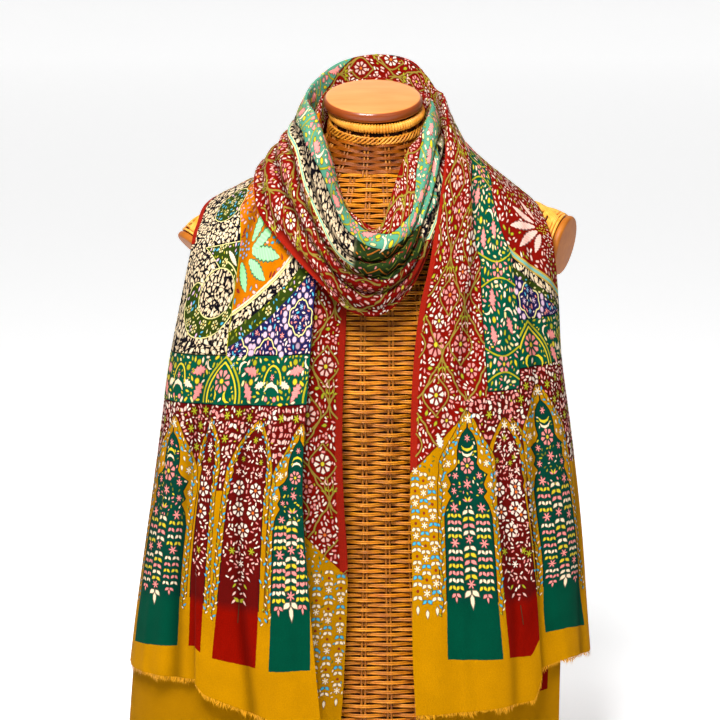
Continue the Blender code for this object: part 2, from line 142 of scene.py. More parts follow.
# share of the way across the leaf, height of the hem there
LEFT_HEM = ((0.0, 0.074), (0.20, 0.078), (0.36, 0.090), (0.50, 0.103), (0.55, 0.117), (1.0, 0.114))
RIGHT_HEM = ((0.0, 0.085), (0.30, 0.089), (0.53, 0.095), (0.58, 0.129), (0.72, 0.137), (1.0, 0.131))
LEFT_UNDER_HEM = ((0.0, 0.046), (0.40, 0.040), (0.52, 0.036), (1.0, 0.044))
RIGHT_UNDER_HEM = ((0.0, 0.040), (0.45, 0.038), (0.75, 0.046), (1.0, 0.052))
HEM_BLEND_TOP = 0.300
EDGE_LIFT = 0.0130
EDGE_LIFT_WIDTH = 0.300
EDGE_LIFT_BOTTOM = 0.500
# share across, forward depth, half width
LEFT_FOLDS = ((0.15, 0.0055, 0.065), (0.34, -0.0020, 0.050), (0.72, 0.0040, 0.060))
RIGHT_FOLDS = ((0.10, 0.0030, 0.050), (0.36, 0.0045, 0.070), (0.74, 0.0040, 0.060))
FOLD_TOP = 0.600
FOLD_FULL = 0.420
# share across, forward depth, half width, cloth hidden under it, height it starts, height full
LEFT_PLEAT = (0.525, 0.0105, 0.024, 0.074, 0.520, 0.330)
RIGHT_PLEAT = (0.555, 0.0095, 0.024, 0.070, 0.430, 0.210)

# angle 0 looks to the front, positive to the viewer's right; radius and height of five points
INNER_PASS = (
    (-122, .0625, .758, .0670, .786, .0745, .766, .0850, .733, .1220, .679),
    (-150, .0620, .760, .0665, .795, .0750, .768, .0785, .735, .1000, .678),
    (-180, .0625, .762, .0665, .800, .0750, .770, .0775, .738, .0880, .684),
    (-210, .0620, .758, .0655, .793, .0735, .766, .0780, .735, .0940, .686),
    (-242, .0607, .752, .0642, .781, .0710, .760, .0775, .733, .1020, .698),
)
COWL = (
    (90, .0607, .748, .0640, .775, .0695, .757, .0750, .733, .0960, .716),
    (66, .0600, .740, .0675, .768, .0770, .752, .0860, .725, .1060, .699),
    (47, .0630, .736, .0780, .758, .0885, .742, .1000, .703, .1160, .668),
    (31, .0650, .724, .0920, .708, .1035, .692, .1150, .660, .1230, .630),
    (16, .0740, .688, .1090, .655, .1190, .641, .1310, .606, .1370, .579),
    (2, .0940, .643, .1210, .637, .1320, .620, .1400, .587, .1400, .551),
    (-12, .0950, .652, .1190, .640, .1330, .624, .1430, .592, .1450, .555),
    (-26, .0840, .670, .1030, .678, .1220, .660, .1410, .626, .1500, .587),
    (-42, .0735, .712, .0890, .730, .1060, .710, .1310, .671, .1540, .624),
    (-58, .0710, .736, .0820, .764, .0960, .746, .1200, .706, .1560, .657),
    (-76, .0760, .748, .0810, .776, .0920, .758, .1130, .724, .1440, .690),
    (-98, .0780, .754, .0810, .783, .0910, .763, .1080, .737, .1350, .704),
)
OUTER_PASS = (
    (-120, .0785, .762, .0820, .797, .0920, .774, .1040, .740, .1330, .697),
    (-150, .0795, .774, .0835, .817, .0930, .790, .0980, .744, .1180, .666),
    (-180, .0795, .776, .0835, .825, .0935, .796, .0970, .746, .1080, .658),
    (-210, .0785, .772, .0830, .818, .0925, .790, .0975, .742, .1180, .664),
    (-238, .0765, .758, .0795, .789, .0885, .768, .1020, .732, .1400, .677),
)
RIGHT_SHOULDER = (
    ((88, .0735, .752), (88, .0772, .780), (88, .0855, .761), (90, .1080, .724), (92, .1740, .6685)),
    ((50, .1010, .722), (52, .1050, .724), (56, .1110, .719), (66, .1400, .694), (75, .2010, .640)),
)
LEFT_SHOULDER = (
    ((-52, .0830, .704), (-53, .0855, .706), (-56, .0930, .702), (-66, .1330, .682), (-76, .2120, .638)),
    ((-93, .0618, .746), (-93, .0658, .768), (-93, .0735, .751), (-94, .0960, .714), (-94, .1860, .666)),
)
RIB_PLACES = (0.0, 0.10, 0.22, 0.56, 1.0)

# ---- steps of the visible cloth -------------------------------------------------------
ROW_STEP = 0.0036
FINE_SHARES = 181
HEM_SHORT = 0.0035
END_WIDTH = 0.300
# painted shade: depth of a crease at which its wool is painted fully dark
FULL_SHADE_DEPTH = 0.0032
# painted shade over the whole of each under leaf, which hangs behind a front leaf
UNDER_SHADE = 0.40

# creases: share along and across where one starts, the same where it ends, depth, half width
CREASES = {
    "left_end_front": (
        (0.02, 0.10, 0.80, 0.20, 0.0022, 0.030),
        (0.00, 0.30, 0.70, 0.36, -0.0026, 0.028),
        (0.05, 0.42, 0.62, 0.50, 0.0020, 0.024),
        (0.00, 0.66, 0.85, 0.60, -0.0026, 0.030),
        (0.00, 0.80, 0.75, 0.74, 0.0024, 0.026),
        (0.10, 0.90, 0.70, 0.85, -0.0018, 0.024),
        (0.55, 0.30, 0.95, 0.45, 0.0030, 0.045),
        (0.60, 0.52, 0.95, 0.66, -0.0024, 0.040),
    ),
    "right_end_front": (
        (0.05, 0.46, 0.60, 0.18, -0.0028, 0.036),
        (0.10, 0.66, 0.75, 0.34, 0.0026, 0.034),
        (0.15, 0.80, 0.95, 0.50, -0.0026, 0.030),
        (0.30, 0.20, 1.00, 0.24, 0.0022, 0.028),
        (0.35, 0.62, 1.00, 0.70, 0.0024, 0.028),
        (0.30, 0.92, 1.00, 0.83, -0.0022, 0.026),
        (0.45, 0.42, 1.00, 0.44, -0.0020, 0.024),
    ),
    "cowl": (
        (0.04, 0.200, 0.97, 0.200, 0.0036, 0.060),
        (0.05, 0.315, 0.97, 0.305, -0.0078, 0.026),
        (0.06, 0.400, 0.97, 0.370, 0.0040, 0.045),
        (0.10, 0.520, 0.97, 0.445, -0.0065, 0.038),
        (0.15, 0.620, 0.98, 0.540, 0.0042, 0.045),
        (0.14, 0.740, 0.97, 0.640, -0.0060, 0.038),
        (0.22, 0.860, 0.98, 0.760, 0.0040, 0.050),
        (0.34, 0.950, 0.99, 0.880, -0.0030, 0.036),
    ),
    "nape_outer_pass": (
        (0.02, 0.36, 0.98, 0.40, -0.0030, 0.050),
        (0.02, 0.52, 0.98, 0.55, 0.0028, 0.055),
        (0.02, 0.70, 0.98, 0.68, -0.0030, 0.055),
        (0.02, 0.86, 0.98, 0.84, 0.0024, 0.055),
    ),
    "nape_inner_pass": (),
}


def linear(red, green, blue):
    """Scene-linear colour of a display colour given from 0 to 255."""
    shares = [value / 255 for value in (red, green, blue)]
    return tuple(c / 12.92 if c <= 0.04045 else ((c + 0.055) / 1.055) ** 2.4 for c in shares)


# display colour from 0 to 255, and what the dye is used for
DYES = {
    "red": (126, 14, 6, "ground of the vine borders"),
    "deep_red": (92, 11, 8, "ground of the star border and the red panels"),
    "coral": (150, 30, 16, "narrow edge of the shawl"),
    "scarlet": (130, 9, 0, "plain feet of the red panels"),
    "teal": (2, 76, 54, "ground of the arched borders"),
    "deep_green": (4, 60, 46, "ground of the green panels"),
    "mustard": (182, 124, 0, "hem, arches and loose yarn"),
    "night": (16, 12, 20, "ground of the cream lace and fine outlines"),
    "indigo": (30, 28, 76, "ground of the lozenges"),
    "amber": (196, 108, 2, "ground of the large leaves"),
    "mint": (150, 224, 150, "large leaves on amber"),
    "cream": (244, 220, 182, "flowers and small leaves"),
    "white": (248, 222, 202, "pale flowers and stitches"),
    "pink": (236, 140, 132, "flowers and oak leaves"),
    "pale_pink": (244, 186, 170, "pale flowers and leaves on red"),
    "sky": (70, 168, 196, "blue leaf pairs"),
    "yellow": (212, 192, 34, "arches and flower centres"),
    "olive": (104, 114, 22, "olive stitches"),
    "pale_yellow": (226, 214, 140, "fine outlines of the large motifs"),
    "gold": (196, 158, 60, "double lines of the right field"),
    "lilac": (216, 180, 202, "dots round the lozenges"),
    "green_block": (0, 68, 48, "plain feet of the green panels"),
    "olive_ground": (46, 62, 14, "ground of the paisley and the leaf ring"),
    "spring": (168, 164, 18, "spring green leaves and arches"),
    "vine": (150, 124, 40, "vine stems on red"),
    "bark": (74, 44, 14, "dark stems and outlines"),
    "ivory": (232, 204, 164, "lace on the dark ground"),
    "roll_teal": (84, 150, 122, "ground of the rolled edge at the neck"),
    "zigzag_green": (40, 58, 24, "ground of the zigzags"),
    "amber_line": (176, 92, 16, "line round the amber field"),
    "dull_sky": (120, 176, 160, "narrow blue line"),
    "orange": (226, 104, 28, "centres of pale flowers"),
    "sky_pale": (140, 190, 226, "pale blue dots and stars"),
}


def dye(colour):
    """Scene-linear colour of a dye by its name; a colour is given back as it is."""
    return tuple(getattr(bpy.context.scene.shawl_dyes, colour)) if isinstance(colour, str) else colour


# ---- curves ---------------------------------------------------------------------------
def curve(knots, values, at):
    """Smooth curve through rows of values that stand at increasing knots."""
    knots = np.asarray(knots, dtype=float)
    values = np.asarray(values, dtype=float)
    at = np.clip(np.asarray(at, dtype=float), knots[0], knots[-1])
    step = np.clip(np.searchsorted(knots, at, side="left") - 1, 0, len(knots) - 2)
    low = np.maximum(np.arange(len(knots)) - 1, 0)
    high = np.minimum(np.arange(len(knots)) + 1, len(knots) - 1)
    wide = (slice(None),) + (None,) * (values.ndim - 1)
    slopes = (values[high] - values[low]) / (knots[high] - knots[low])[wide]
    span = knots[step + 1] - knots[step]
    u = (at - knots[step]) / span
    if at.ndim:
        span, u = span[wide], u[wide]
    rise = u * u * (3 - 2 * u)
    bend = u * (1 - u) * span * ((1 - u) * slopes[step] - u * slopes[step + 1])
    return values[step] + rise * (values[step + 1] - values[step]) + bend


def table_at(table, at):
    rows = np.array(table)
    return curve(rows[:, 0], rows[:, 1:], at)


def ramp(value, start, end):
    """Smooth rise from 0 at start to 1 at end."""
    u = np.clip((np.asarray(value, dtype=float) - start) / (end - start), 0.0, 1.0)
    return u * u * (3 - 2 * u)


def polar(degrees, radius, height):
    angle = math.radians(degrees)
    return np.array((radius * math.sin(angle), -radius * math.cos(angle), height))


def section_radius(angle, left, right, front, back, square):
    side = right if math.sin(angle) >= 0 else left
    depth = front if math.cos(angle) >= 0 else back
    sine = abs(math.sin(angle)) / side
    cosine = abs(math.cos(angle)) / depth
    return (sine ** square + cosine ** square) ** (-1 / square)


# ---- the shape the cloth falls over ---------------------------------------------------
def drape_offset(angle, height, distance):
    """Point at a distance along the outward normal of the drape shape."""
    small = 1e-3
    rows = [table_at(DRAPE_SECTIONS, height + rise) for rise in (-small, 0.0, small)]

    def point(turn, row):
        radius = section_radius(angle + turn, *rows[row])
        return polar(math.degrees(angle + turn), radius, height + small * (row - 1))

    normal = np.cross(point(small, 1) - point(-small, 1), point(0, 2) - point(0, 0))
    return point(0, 1) + normal * distance / np.linalg.norm(normal)


def reach_of(steps):
    """Distance from the start at each place, from the steps between places."""
    return np.concatenate(((0.0,), np.cumsum(steps)))


def leaf_angles(inner_x, far_angle, height, shares):
    """Angles at shares of the arc from the inner edge to the far edge."""
    section = table_at(DRAPE_SECTIONS, height)
    left, right, front, _back, square = section
    side = right if inner_x >= 0 else left
    start = math.atan2(inner_x, front * (1 - (abs(inner_x) / side) ** square) ** (1 / square))
    angles = np.linspace(start, math.copysign(math.radians(far_angle), inner_x), 49)
    points = [polar(math.degrees(a), section_radius(a, *section), 0.0) for a in angles]
    reach = reach_of(np.linalg.norm(np.diff(points, axis=0), axis=1))
    return np.interp(np.asarray(shares) * reach[-1], reach, angles)


def leaf_rib(row, bottom, column, hem, folds, lift, top, shares):
    """Points across one row of a hanging leaf."""
    height = row[0]
    change = np.interp(shares, *zip(*hem)) - bottom
    levels = height + change * (1 - ramp(height, bottom, HEM_BLEND_TOP))
    inner_x, far_angle = row[column:column + 2]
    points = []
    for share, level in zip(shares, levels):
        angle = float(leaf_angles(inner_x, far_angle, level, [share])[0])
        distance = BODY_GAP + WALL / 2
        if folds is not None:
            relief = LEAF_GAP + FRONT_STAND_OFF
            for place, forward, half_width in folds:
                depth = forward * math.exp(-((share - place) / half_width) ** 2)
                relief += depth * (1 - ramp(height, FOLD_FULL, FOLD_TOP))
            relief += lift * (1 - ramp(share, 0, EDGE_LIFT_WIDTH)) * ramp(height, EDGE_LIFT_BOTTOM, top)
            distance += WALL + SEAM + relief * (1 - CLOSED_SHARE * ramp(share, 0.85, 1.0))
        points.append(drape_offset(angle, level, distance))
    return np.array(points)


def leaf_ribs(rows, column, hem, folds, lift, shares):
    return [leaf_rib(row, rows[0][0], column, hem, folds, lift, rows[-1][0], shares) for row in rows]


def point_rib(points, shares):
    return curve(RIB_PLACES, [polar(*point) for point in points], shares)


def turned_rib(row, shares):
    pairs = zip(row[1::2], row[2::2])
    return point_rib([(row[0], radius, height) for radius, height in pairs], shares)


# ---- grids of cloth -------------------------------------------------------------------
def rib_knots(ribs, shares):
    """Distance along the band at each rib."""
    knots = [0.0]
    for first, second in zip(ribs, ribs[1:]):
        spans = [np.linalg.norm([np.interp(share, shares, second[:, axis] - first[:, axis])
                                 for axis in range(3)]) for share in (0.15, 0.5, 0.85)]
        knots.append(knots[-1] + sum(spans) / 3)
    return knots


def normals_of(grid):
    along = np.gradient(grid, axis=0)
    across = np.gradient(grid, axis=1)
    normals = np.cross(along, across)
    return normals / np.linalg.norm(normals, axis=2, keepdims=True)


class Sheet:
    """A grid of cloth: middle points, outward normals, flat frame and depth of hollows, row by row."""

    def __init__(self, name, points, normals, flat, hollow):
        self.name = name
        self.points = points
        self.normals = normals
        self.flat = flat
        self.hollow = hollow

    def rows(self, name, first, last):
        part = slice(first, last + 1)
        return Sheet(name, self.points[part], self.normals[part], self.flat[part], self.hollow[part])


def across_reach(grid):
    """Distance across the cloth from its inner edge, at each point of a grid."""
    steps = np.linalg.norm(np.diff(grid, axis=1), axis=2)
    return np.concatenate((np.zeros((len(grid), 1)), np.cumsum(steps, axis=1)), axis=1)


def flat_frame(places, across):
    return np.dstack((np.repeat(places[:, None], across.shape[1], axis=1), across))


def crease_relief(creases, along, across):
    """Height of the creases over a stretch whose rows and columns are given as shares."""
    relief = np.zeros((len(along), len(across)))
    for a0, c0, a1, c1, depth, width in creases:
        u = np.clip((along - a0) / (a1 - a0), 0, 1)
        inside = np.where((along >= a0) & (along <= a1), np.sin(math.pi * u) ** 0.7, 0.0)
        if a0 <= 0.001:
            inside = np.where(along <= a1, np.cos(math.pi / 2 * u), 0.0)
        if a1 >= 0.999:
            inside = np.where(along >= a0, np.sin(math.pi / 2 * u), 0.0)
        centre = c0 + (c1 - c0) * u
        wander = 0.012 * np.sin(9.0 * u + 17.0 * c0)
        offset = (across[None, :] - (centre + wander)[:, None]) / width
        relief += (depth * inside)[:, None] * np.exp(-offset ** 2)
    return relief


def pleated(base, normals, shares, pleat, levels):
    """Slide the cloth across under a pleat and stand its front layer forward."""
    place, forward, width, hidden, start, full = pleat
    strength = 1 - ramp(levels, full, start)
    offset = (shares - place) / width
    slide = offset * np.exp(-offset ** 2)
    front = 1 - ramp(shares, place - 0.8 * width, place + 0.8 * width)
    points = base.copy()
    for row in range(len(base)):
        if strength[row] <= 0:
            continue
        moved = shares - hidden * strength[row] * slide
        for axis in range(3):
            line = np.interp(moved, shares, base[row, :, axis])
            out = np.interp(moved, shares, normals[row, :, axis])
            points[row, :, axis] = line + out * forward * strength[row] * front
    return points


def end_columns():
    """Shares across the cloth, closer at the rolled edge and at the pleats."""
    weights = np.ones(FINE_SHARES)
    spread = np.linspace(0, 1, FINE_SHARES)
    weights += 1.2 * np.exp(-((spread - 0.54) / 0.05) ** 2) + 1.0 * (spread < 0.22)
    reach = reach_of(weights[1:])
    return np.interp(np.linspace(0, reach[-1], 112), reach, spread)


def shawl_sheets(crease_depth):
    """The whole shawl as one grid, cut into the stretches that have a solid each."""
    shares = np.linspace(0, 1, FINE_SHARES)
    ribs = leaf_ribs(LEFT_ROWS, 1, LEFT_HEM, LEFT_FOLDS, 0.0, shares)
    ribs += [point_rib(points, shares) for points in LEFT_SHOULDER]
    inner_start = len(ribs)
    ribs += [turned_rib(row, shares) for row in INNER_PASS + COWL + OUTER_PASS]
    inner_end = inner_start + len(INNER_PASS) - 1
    outer_start = inner_end + len(COWL) + 1
    outer_end = outer_start + len(OUTER_PASS) - 1
    ribs += [point_rib(points, shares) for points in RIGHT_SHOULDER]
    right_start = len(ribs)
    ribs += reversed(leaf_ribs(RIGHT_ROWS, 1, RIGHT_HEM, RIGHT_FOLDS, EDGE_LIFT, shares))
    knots = rib_knots(ribs, shares)
    cuts = [0, inner_start, inner_end, outer_start, outer_end, len(ribs) - 1]
    names = ("left_end_front", "nape_inner_pass", "cowl", "nape_outer_pass", "right_end_front")
    places = [np.array((knots[0] + HEM_SHORT,))]
    marks = [0]
    for first, last in zip(cuts, cuts[1:]):
        start = max(knots[first], places[0][0])
        end = min(knots[last], knots[-1] - HEM_SHORT)
        count = int(round((end - start) / ROW_STEP))
        places.append(np.linspace(start, end, count + 1)[1:])
        marks.append(marks[-1] + count)
    places = np.concatenate(places)
    grid = curve(knots, np.array(ribs), places)
    normals = normals_of(grid)
    left_levels = np.interp(places, knots[:len(LEFT_ROWS)], [row[0] for row in LEFT_ROWS])
    right_heights = [row[0] for row in reversed(RIGHT_ROWS)]
    right_levels = np.interp(places, knots[right_start:], right_heights)
    relief = np.zeros(grid.shape[:2])
    for name, first, last in zip(names, marks, marks[1:]):
        along = np.linspace(0, 1, last - first + 1)
        relief[first:last + 1] += crease_relief(CREASES[name], along, shares) * crease_depth
    grid = grid + normals * relief[:, :, None]
    ends = ((left_levels, LEFT_PLEAT, places <= knots[inner_start]),
            (right_levels, RIGHT_PLEAT, places >= knots[outer_end]))
    for levels, pleat, part in ends:
        grid[part] = pleated(grid[part], normals[part], shares, pleat, levels[part])
    columns = end_columns()
    fine = np.empty((len(places), len(columns), 3))
    hollow = np.empty(fine.shape[:2])
    for row in range(len(places)):
        # painted shade: the deeper a crease sinks, the darker its wool is painted
        hollow[row] = np.interp(columns, shares, np.clip(-relief[row] / FULL_SHADE_DEPTH, 0, 1))
        for axis in range(3):
            fine[row, :, axis] = np.interp(columns, shares, grid[row, :, axis])
    # painted shade: a dark strip is painted beside each pleat, where its front layer overhangs
    for levels, pleat, part in ends:
        strength = (1 - ramp(levels, pleat[5], pleat[4])) * part
        beside = np.exp(-((columns - pleat[0] - 0.8 * pleat[2]) / (0.9 * pleat[2])) ** 2)
        hollow = np.maximum(hollow, strength[:, None] * beside[None, :])
    return cut_sheets(fine, hollow, places, marks, names, knots, (inner_start, inner_end, outer_start, outer_end))


def cut_sheets(fine, hollow, places, marks, names, knots, ribs):
    """The sheets of the whole grid; the cloth's flat width narrows at the ends, where it is folded."""
    reach = across_reach(fine)
    inner_start, inner_end, outer_start, outer_end = ribs
    spread = 1 - ramp(places, knots[inner_start], knots[inner_end])
    spread += ramp(places, knots[outer_start], knots[outer_end])
    width = reach[:, -1:] * (1 - spread[:, None]) + END_WIDTH * spread[:, None]
    across = reach / reach[:, -1:] * width
    flat = flat_frame(places, across)
    x, y = flat[..., 0], flat[..., 1]
    past_roll = y - bent_line(x, ROLL_OUTER, BAND_SCALE)
    cowl_part = ramp(x, 0.97, 1.02) * (1 - ramp(x, 1.43, 1.47))
    # painted shade along the groove under the rolled edge
    groove_shade = 0.85 * np.exp(-((past_roll - 0.0045) / 0.0075) ** 2) * cowl_part
    # painted shade over the lower part of the cowl, which faces down
    low = 0.8 * ramp(past_roll, 0.008, 0.05) * ramp(x, 1.05, 1.10) * (1 - ramp(x, 1.20, 1.26))
    hollow = np.clip(np.maximum(hollow, np.maximum(groove_shade, low)), 0, 1)
    whole = Sheet("shawl", fine, normals_of(fine), flat, hollow)
    return {name: whole.rows(name, first, last) for name, first, last in zip(names, marks, marks[1:])}


def under_sheet(name, rows, hem):
    """Under leaf of an end, without creases."""
    shares = np.linspace(0, 1, 73)
    ribs = leaf_ribs(rows, 3, hem, None, 0.0, shares)
    if rows[0][1] > 0:
        ribs.reverse()
    knots = rib_knots(ribs, shares)
    low = HEM_SHORT if rows[0][1] < 0 else 0.0
    high = 0.0 if rows[0][1] < 0 else HEM_SHORT
    count = int((knots[-1] - low - high) / (2 * ROW_STEP))
    places = np.linspace(low, knots[-1] - high, count + 1)
    grid = curve(knots, np.array(ribs), places)
    reach = across_reach(grid)
    flat = flat_frame(places, reach / reach[:, -1:] * END_WIDTH)
    return Sheet(name, grid, normals_of(grid), flat, np.full(grid.shape[:2], UNDER_SHADE))


# ---- meshes ---------------------------------------------------------------------------
def new_object(name, vertices, faces):
    mesh = bpy.data.meshes.new(name)
    mesh.from_pydata(np.asarray(vertices).tolist(), [], faces if isinstance(faces, list) else faces.tolist())
    mesh.update()
    made = bpy.data.objects.new(name, mesh)
    bpy.context.scene.collection.objects.link(made)
    return made


def motif(name, vertices, faces, stitch):
    """Small mesh that is laid many times; stitch is each point's place in it, and 1 on a dark rim."""
    made = bpy.data.objects.new(name, bpy.data.meshes.new(name))
    made.data.from_pydata(vertices, [], faces)
    put_vectors(made.data, "stitch", stitch)
    return made


def face_outwards(made):
    work = bmesh.new()
    work.from_mesh(made.data)
    bmesh.ops.recalc_face_normals(work, faces=work.faces)
    work.to_mesh(made.data)
    work.free()


def grid_faces(rows, columns, start=0):
    index = np.arange(rows * columns).reshape(rows, columns) + start
    return np.stack((index[:-1, :-1], index[:-1, 1:], index[1:, 1:], index[1:, :-1]),
                    axis=-1).reshape(-1, 4)


def put_uv(mesh, name, values):
    """Give each vertex's flat place to the corners that use it."""
    layer = mesh.uv_layers.new(name=name)
    corners = np.empty(len(mesh.loops), dtype=np.int32)
    mesh.loops.foreach_get("vertex_index", corners)
    layer.data.foreach_set("uv", np.asarray(values)[corners].astype(np.float32).ravel())


def put_vectors(mesh, name, values):
    layer = mesh.attributes.new(name, "FLOAT_VECTOR", "POINT")
    layer.data.foreach_set("vector", np.asarray(values, dtype=np.float32).ravel())


def put_values(mesh, name, values):
    layer = mesh.attributes.new(name, "FLOAT", "POINT")
    layer.data.foreach_set("value", np.asarray(values, dtype=np.float32).ravel())


def cloth_piece(sheet, thickness):
    """Closed thin cloth on the sheet's grid."""
    rows, columns = sheet.points.shape[:2]
    outer = (sheet.points + sheet.normals * thickness / 2).reshape(-1, 3)
    inner = (sheet.points - sheet.normals * thickness / 2).reshape(-1, 3)
    count = rows * columns
    front = grid_faces(rows, columns)[:, ::-1]
    back = grid_faces(rows, columns, count)
    index = np.arange(count).reshape(rows, columns)
    border = np.concatenate((index[0], index[1:, -1], index[-1, -2::-1], index[-2:0:-1, 0]))
    after = np.roll(border, -1)
    rim = np.stack((border, after, after + count, border + count), axis=-1)
    made = new_object(sheet.name + "_cloth", np.vstack((outer, inner)), np.vstack((front, back, rim)))
    mesh = made.data
    put_uv(mesh, "flat", np.vstack((sheet.flat.reshape(-1, 2),) * 2))
    # painted shade on both faces of the cloth
    put_values(mesh, "hollow", np.concatenate((sheet.hollow.ravel(),) * 2))
    mesh.shade_smooth()
    sharp = np.zeros(len(mesh.edges), dtype=bool)
    ends = np.empty(len(mesh.edges) * 2, dtype=np.int32)
    mesh.edges.foreach_get("vertices", ends)
    ends = ends.reshape(-1, 2)
    on_border = np.zeros(2 * count, dtype=bool)
    on_border[border] = True
    on_border[border + count] = True
    same_side = (ends[:, 0] < count) == (ends[:, 1] < count)
    both = on_border[ends[:, 0]] & on_border[ends[:, 1]] & same_side
    sharp[both] = True
    layer = mesh.attributes.new("sharp_edge", "BOOLEAN", "EDGE")
    layer.data.foreach_set("value", sharp)
    return made


# ---- node trees -----------------------------------------------------------------------
class Value:
    """A node's output that Python sums can be written with."""

    def __init__(self, nodes, socket):
        self.nodes = nodes
        self.socket = socket

    def math(self, operation, *others, clamp=False):
        inputs = dict(enumerate((self, *others)))
        settings = {"operation": operation, "use_clamp": clamp}
        return self.nodes.value("ShaderNodeMath", settings, inputs)

    def __add__(self, other):
        return self.math("ADD", other)

    def __radd__(self, other):
        return self.math("ADD", other)

    def __sub__(self, other):
        return self.math("SUBTRACT", other)

    def __rsub__(self, other):
        return self.nodes.value("ShaderNodeMath", {"operation": "SUBTRACT"}, {0: other, 1: self})

    def __mul__(self, other):
        return self.math("MULTIPLY", other)

    def __rmul__(self, other):
        return self.math("MULTIPLY", other)

    def __abs__(self):
        return self.math("ABSOLUTE")

    def over(self, edge, soft=0.0006):
        """1 where the value lies above an edge, with a soft step."""
        if isinstance(edge, Value):
            return (self - edge).over(0.0, soft)
        return self.math("MULTIPLY_ADD", 1 / soft, 0.5 - edge / soft, clamp=True)


class Nodes:
    """Adds nodes to one tree."""

    def __init__(self, tree):
        self.tree = tree

    def add(self, kind, settings=None, inputs=None):
        node = self.tree.nodes.new(kind)
        for key, value in (settings or {}).items():
            if key == "stops":
                elements = node.color_ramp.elements
                while len(elements) < len(value):
                    elements.new(1.0)
                for element, (place, colour) in zip(elements, value):
                    element.position = place
                    element.color = (*colour, 1.0)
            else:
                setattr(node, key, value)
        for key, value in (inputs or {}).items():
            socket = node.inputs[key]
            if isinstance(value, Value):
                self.tree.links.new(value.socket, socket)
            elif isinstance(value, bpy.types.NodeSocket):
                self.tree.links.new(value, socket)
            elif socket.type == "RGBA" and len(value) == 3:
                socket.default_value = (*value, 1.0)
            else:
                socket.default_value = value
        return node

    def value(self, kind, settings=None, inputs=None, output=0):
        return Value(self, self.add(kind, settings, inputs).outputs[output])

    def mix(self, share, first, second):
        settings = {"data_type": "RGBA", "clamp_factor": True}
        return self.value("ShaderNodeMix", settings, {0: share, 6: first, 7: second}, 2)

    def times(self, first, second):
        settings = {"data_type": "RGBA", "blend_type": "MULTIPLY"}
        return self.value("ShaderNodeMix", settings, {0: 1.0, 6: first, 7: second}, 2)

    def shade(self, colour, brightness):
        """A colour made brighter or darker by a value."""
        return self.times(colour, self.value("ShaderNodeCombineColor", {}, dict.fromkeys(range(3), brightness)))

    def ramp(self, share, *stops):
        return self.value("ShaderNodeValToRGB", {"stops": stops}, {0: share})

    def attribute(self, name, output):
        return self.value("ShaderNodeAttribute", {"attribute_name": name}, {}, output)

    def place(self):
        """Place on the object."""
        return self.value("ShaderNodeTexCoord", {}, {}, 3)

    def noise(self, place, scale, detail=2.0, roughness=0.5):
        inputs = {"Vector": place, "Scale": scale, "Detail": detail, "Roughness": roughness}
        return self.value("ShaderNodeTexNoise", {}, inputs)

    def parts(self, vector):
        node = self.add("ShaderNodeSeparateXYZ", {}, {0: vector})
        return [Value(self, output) for output in node.outputs]

    def vector(self, x, y, z):
        return self.value("ShaderNodeCombineXYZ", {}, {0: x, 1: y, 2: z})


def new_material(name, constants):
    """A material whose shader has the same given numbers all over."""
    material = bpy.data.materials.new(name)
    material.use_nodes = True
    nodes = Nodes(material.node_tree)
    shader = material.node_tree.nodes["Principled BSDF"]
    for key, value in constants.items():
        shader.inputs[key].default_value = value
    return material, nodes, shader


def bump(nodes, shader, height, distance, strength=1.0):
    inputs = {"Height": height, "Distance": distance, "Strength": strength}
    normal = nodes.value("ShaderNodeBump", {}, inputs)
    nodes.tree.links.new(normal.socket, shader.inputs["Normal"])


def paint(nodes, shader, colour):
    nodes.tree.links.new(colour.socket, shader.inputs["Base Color"])


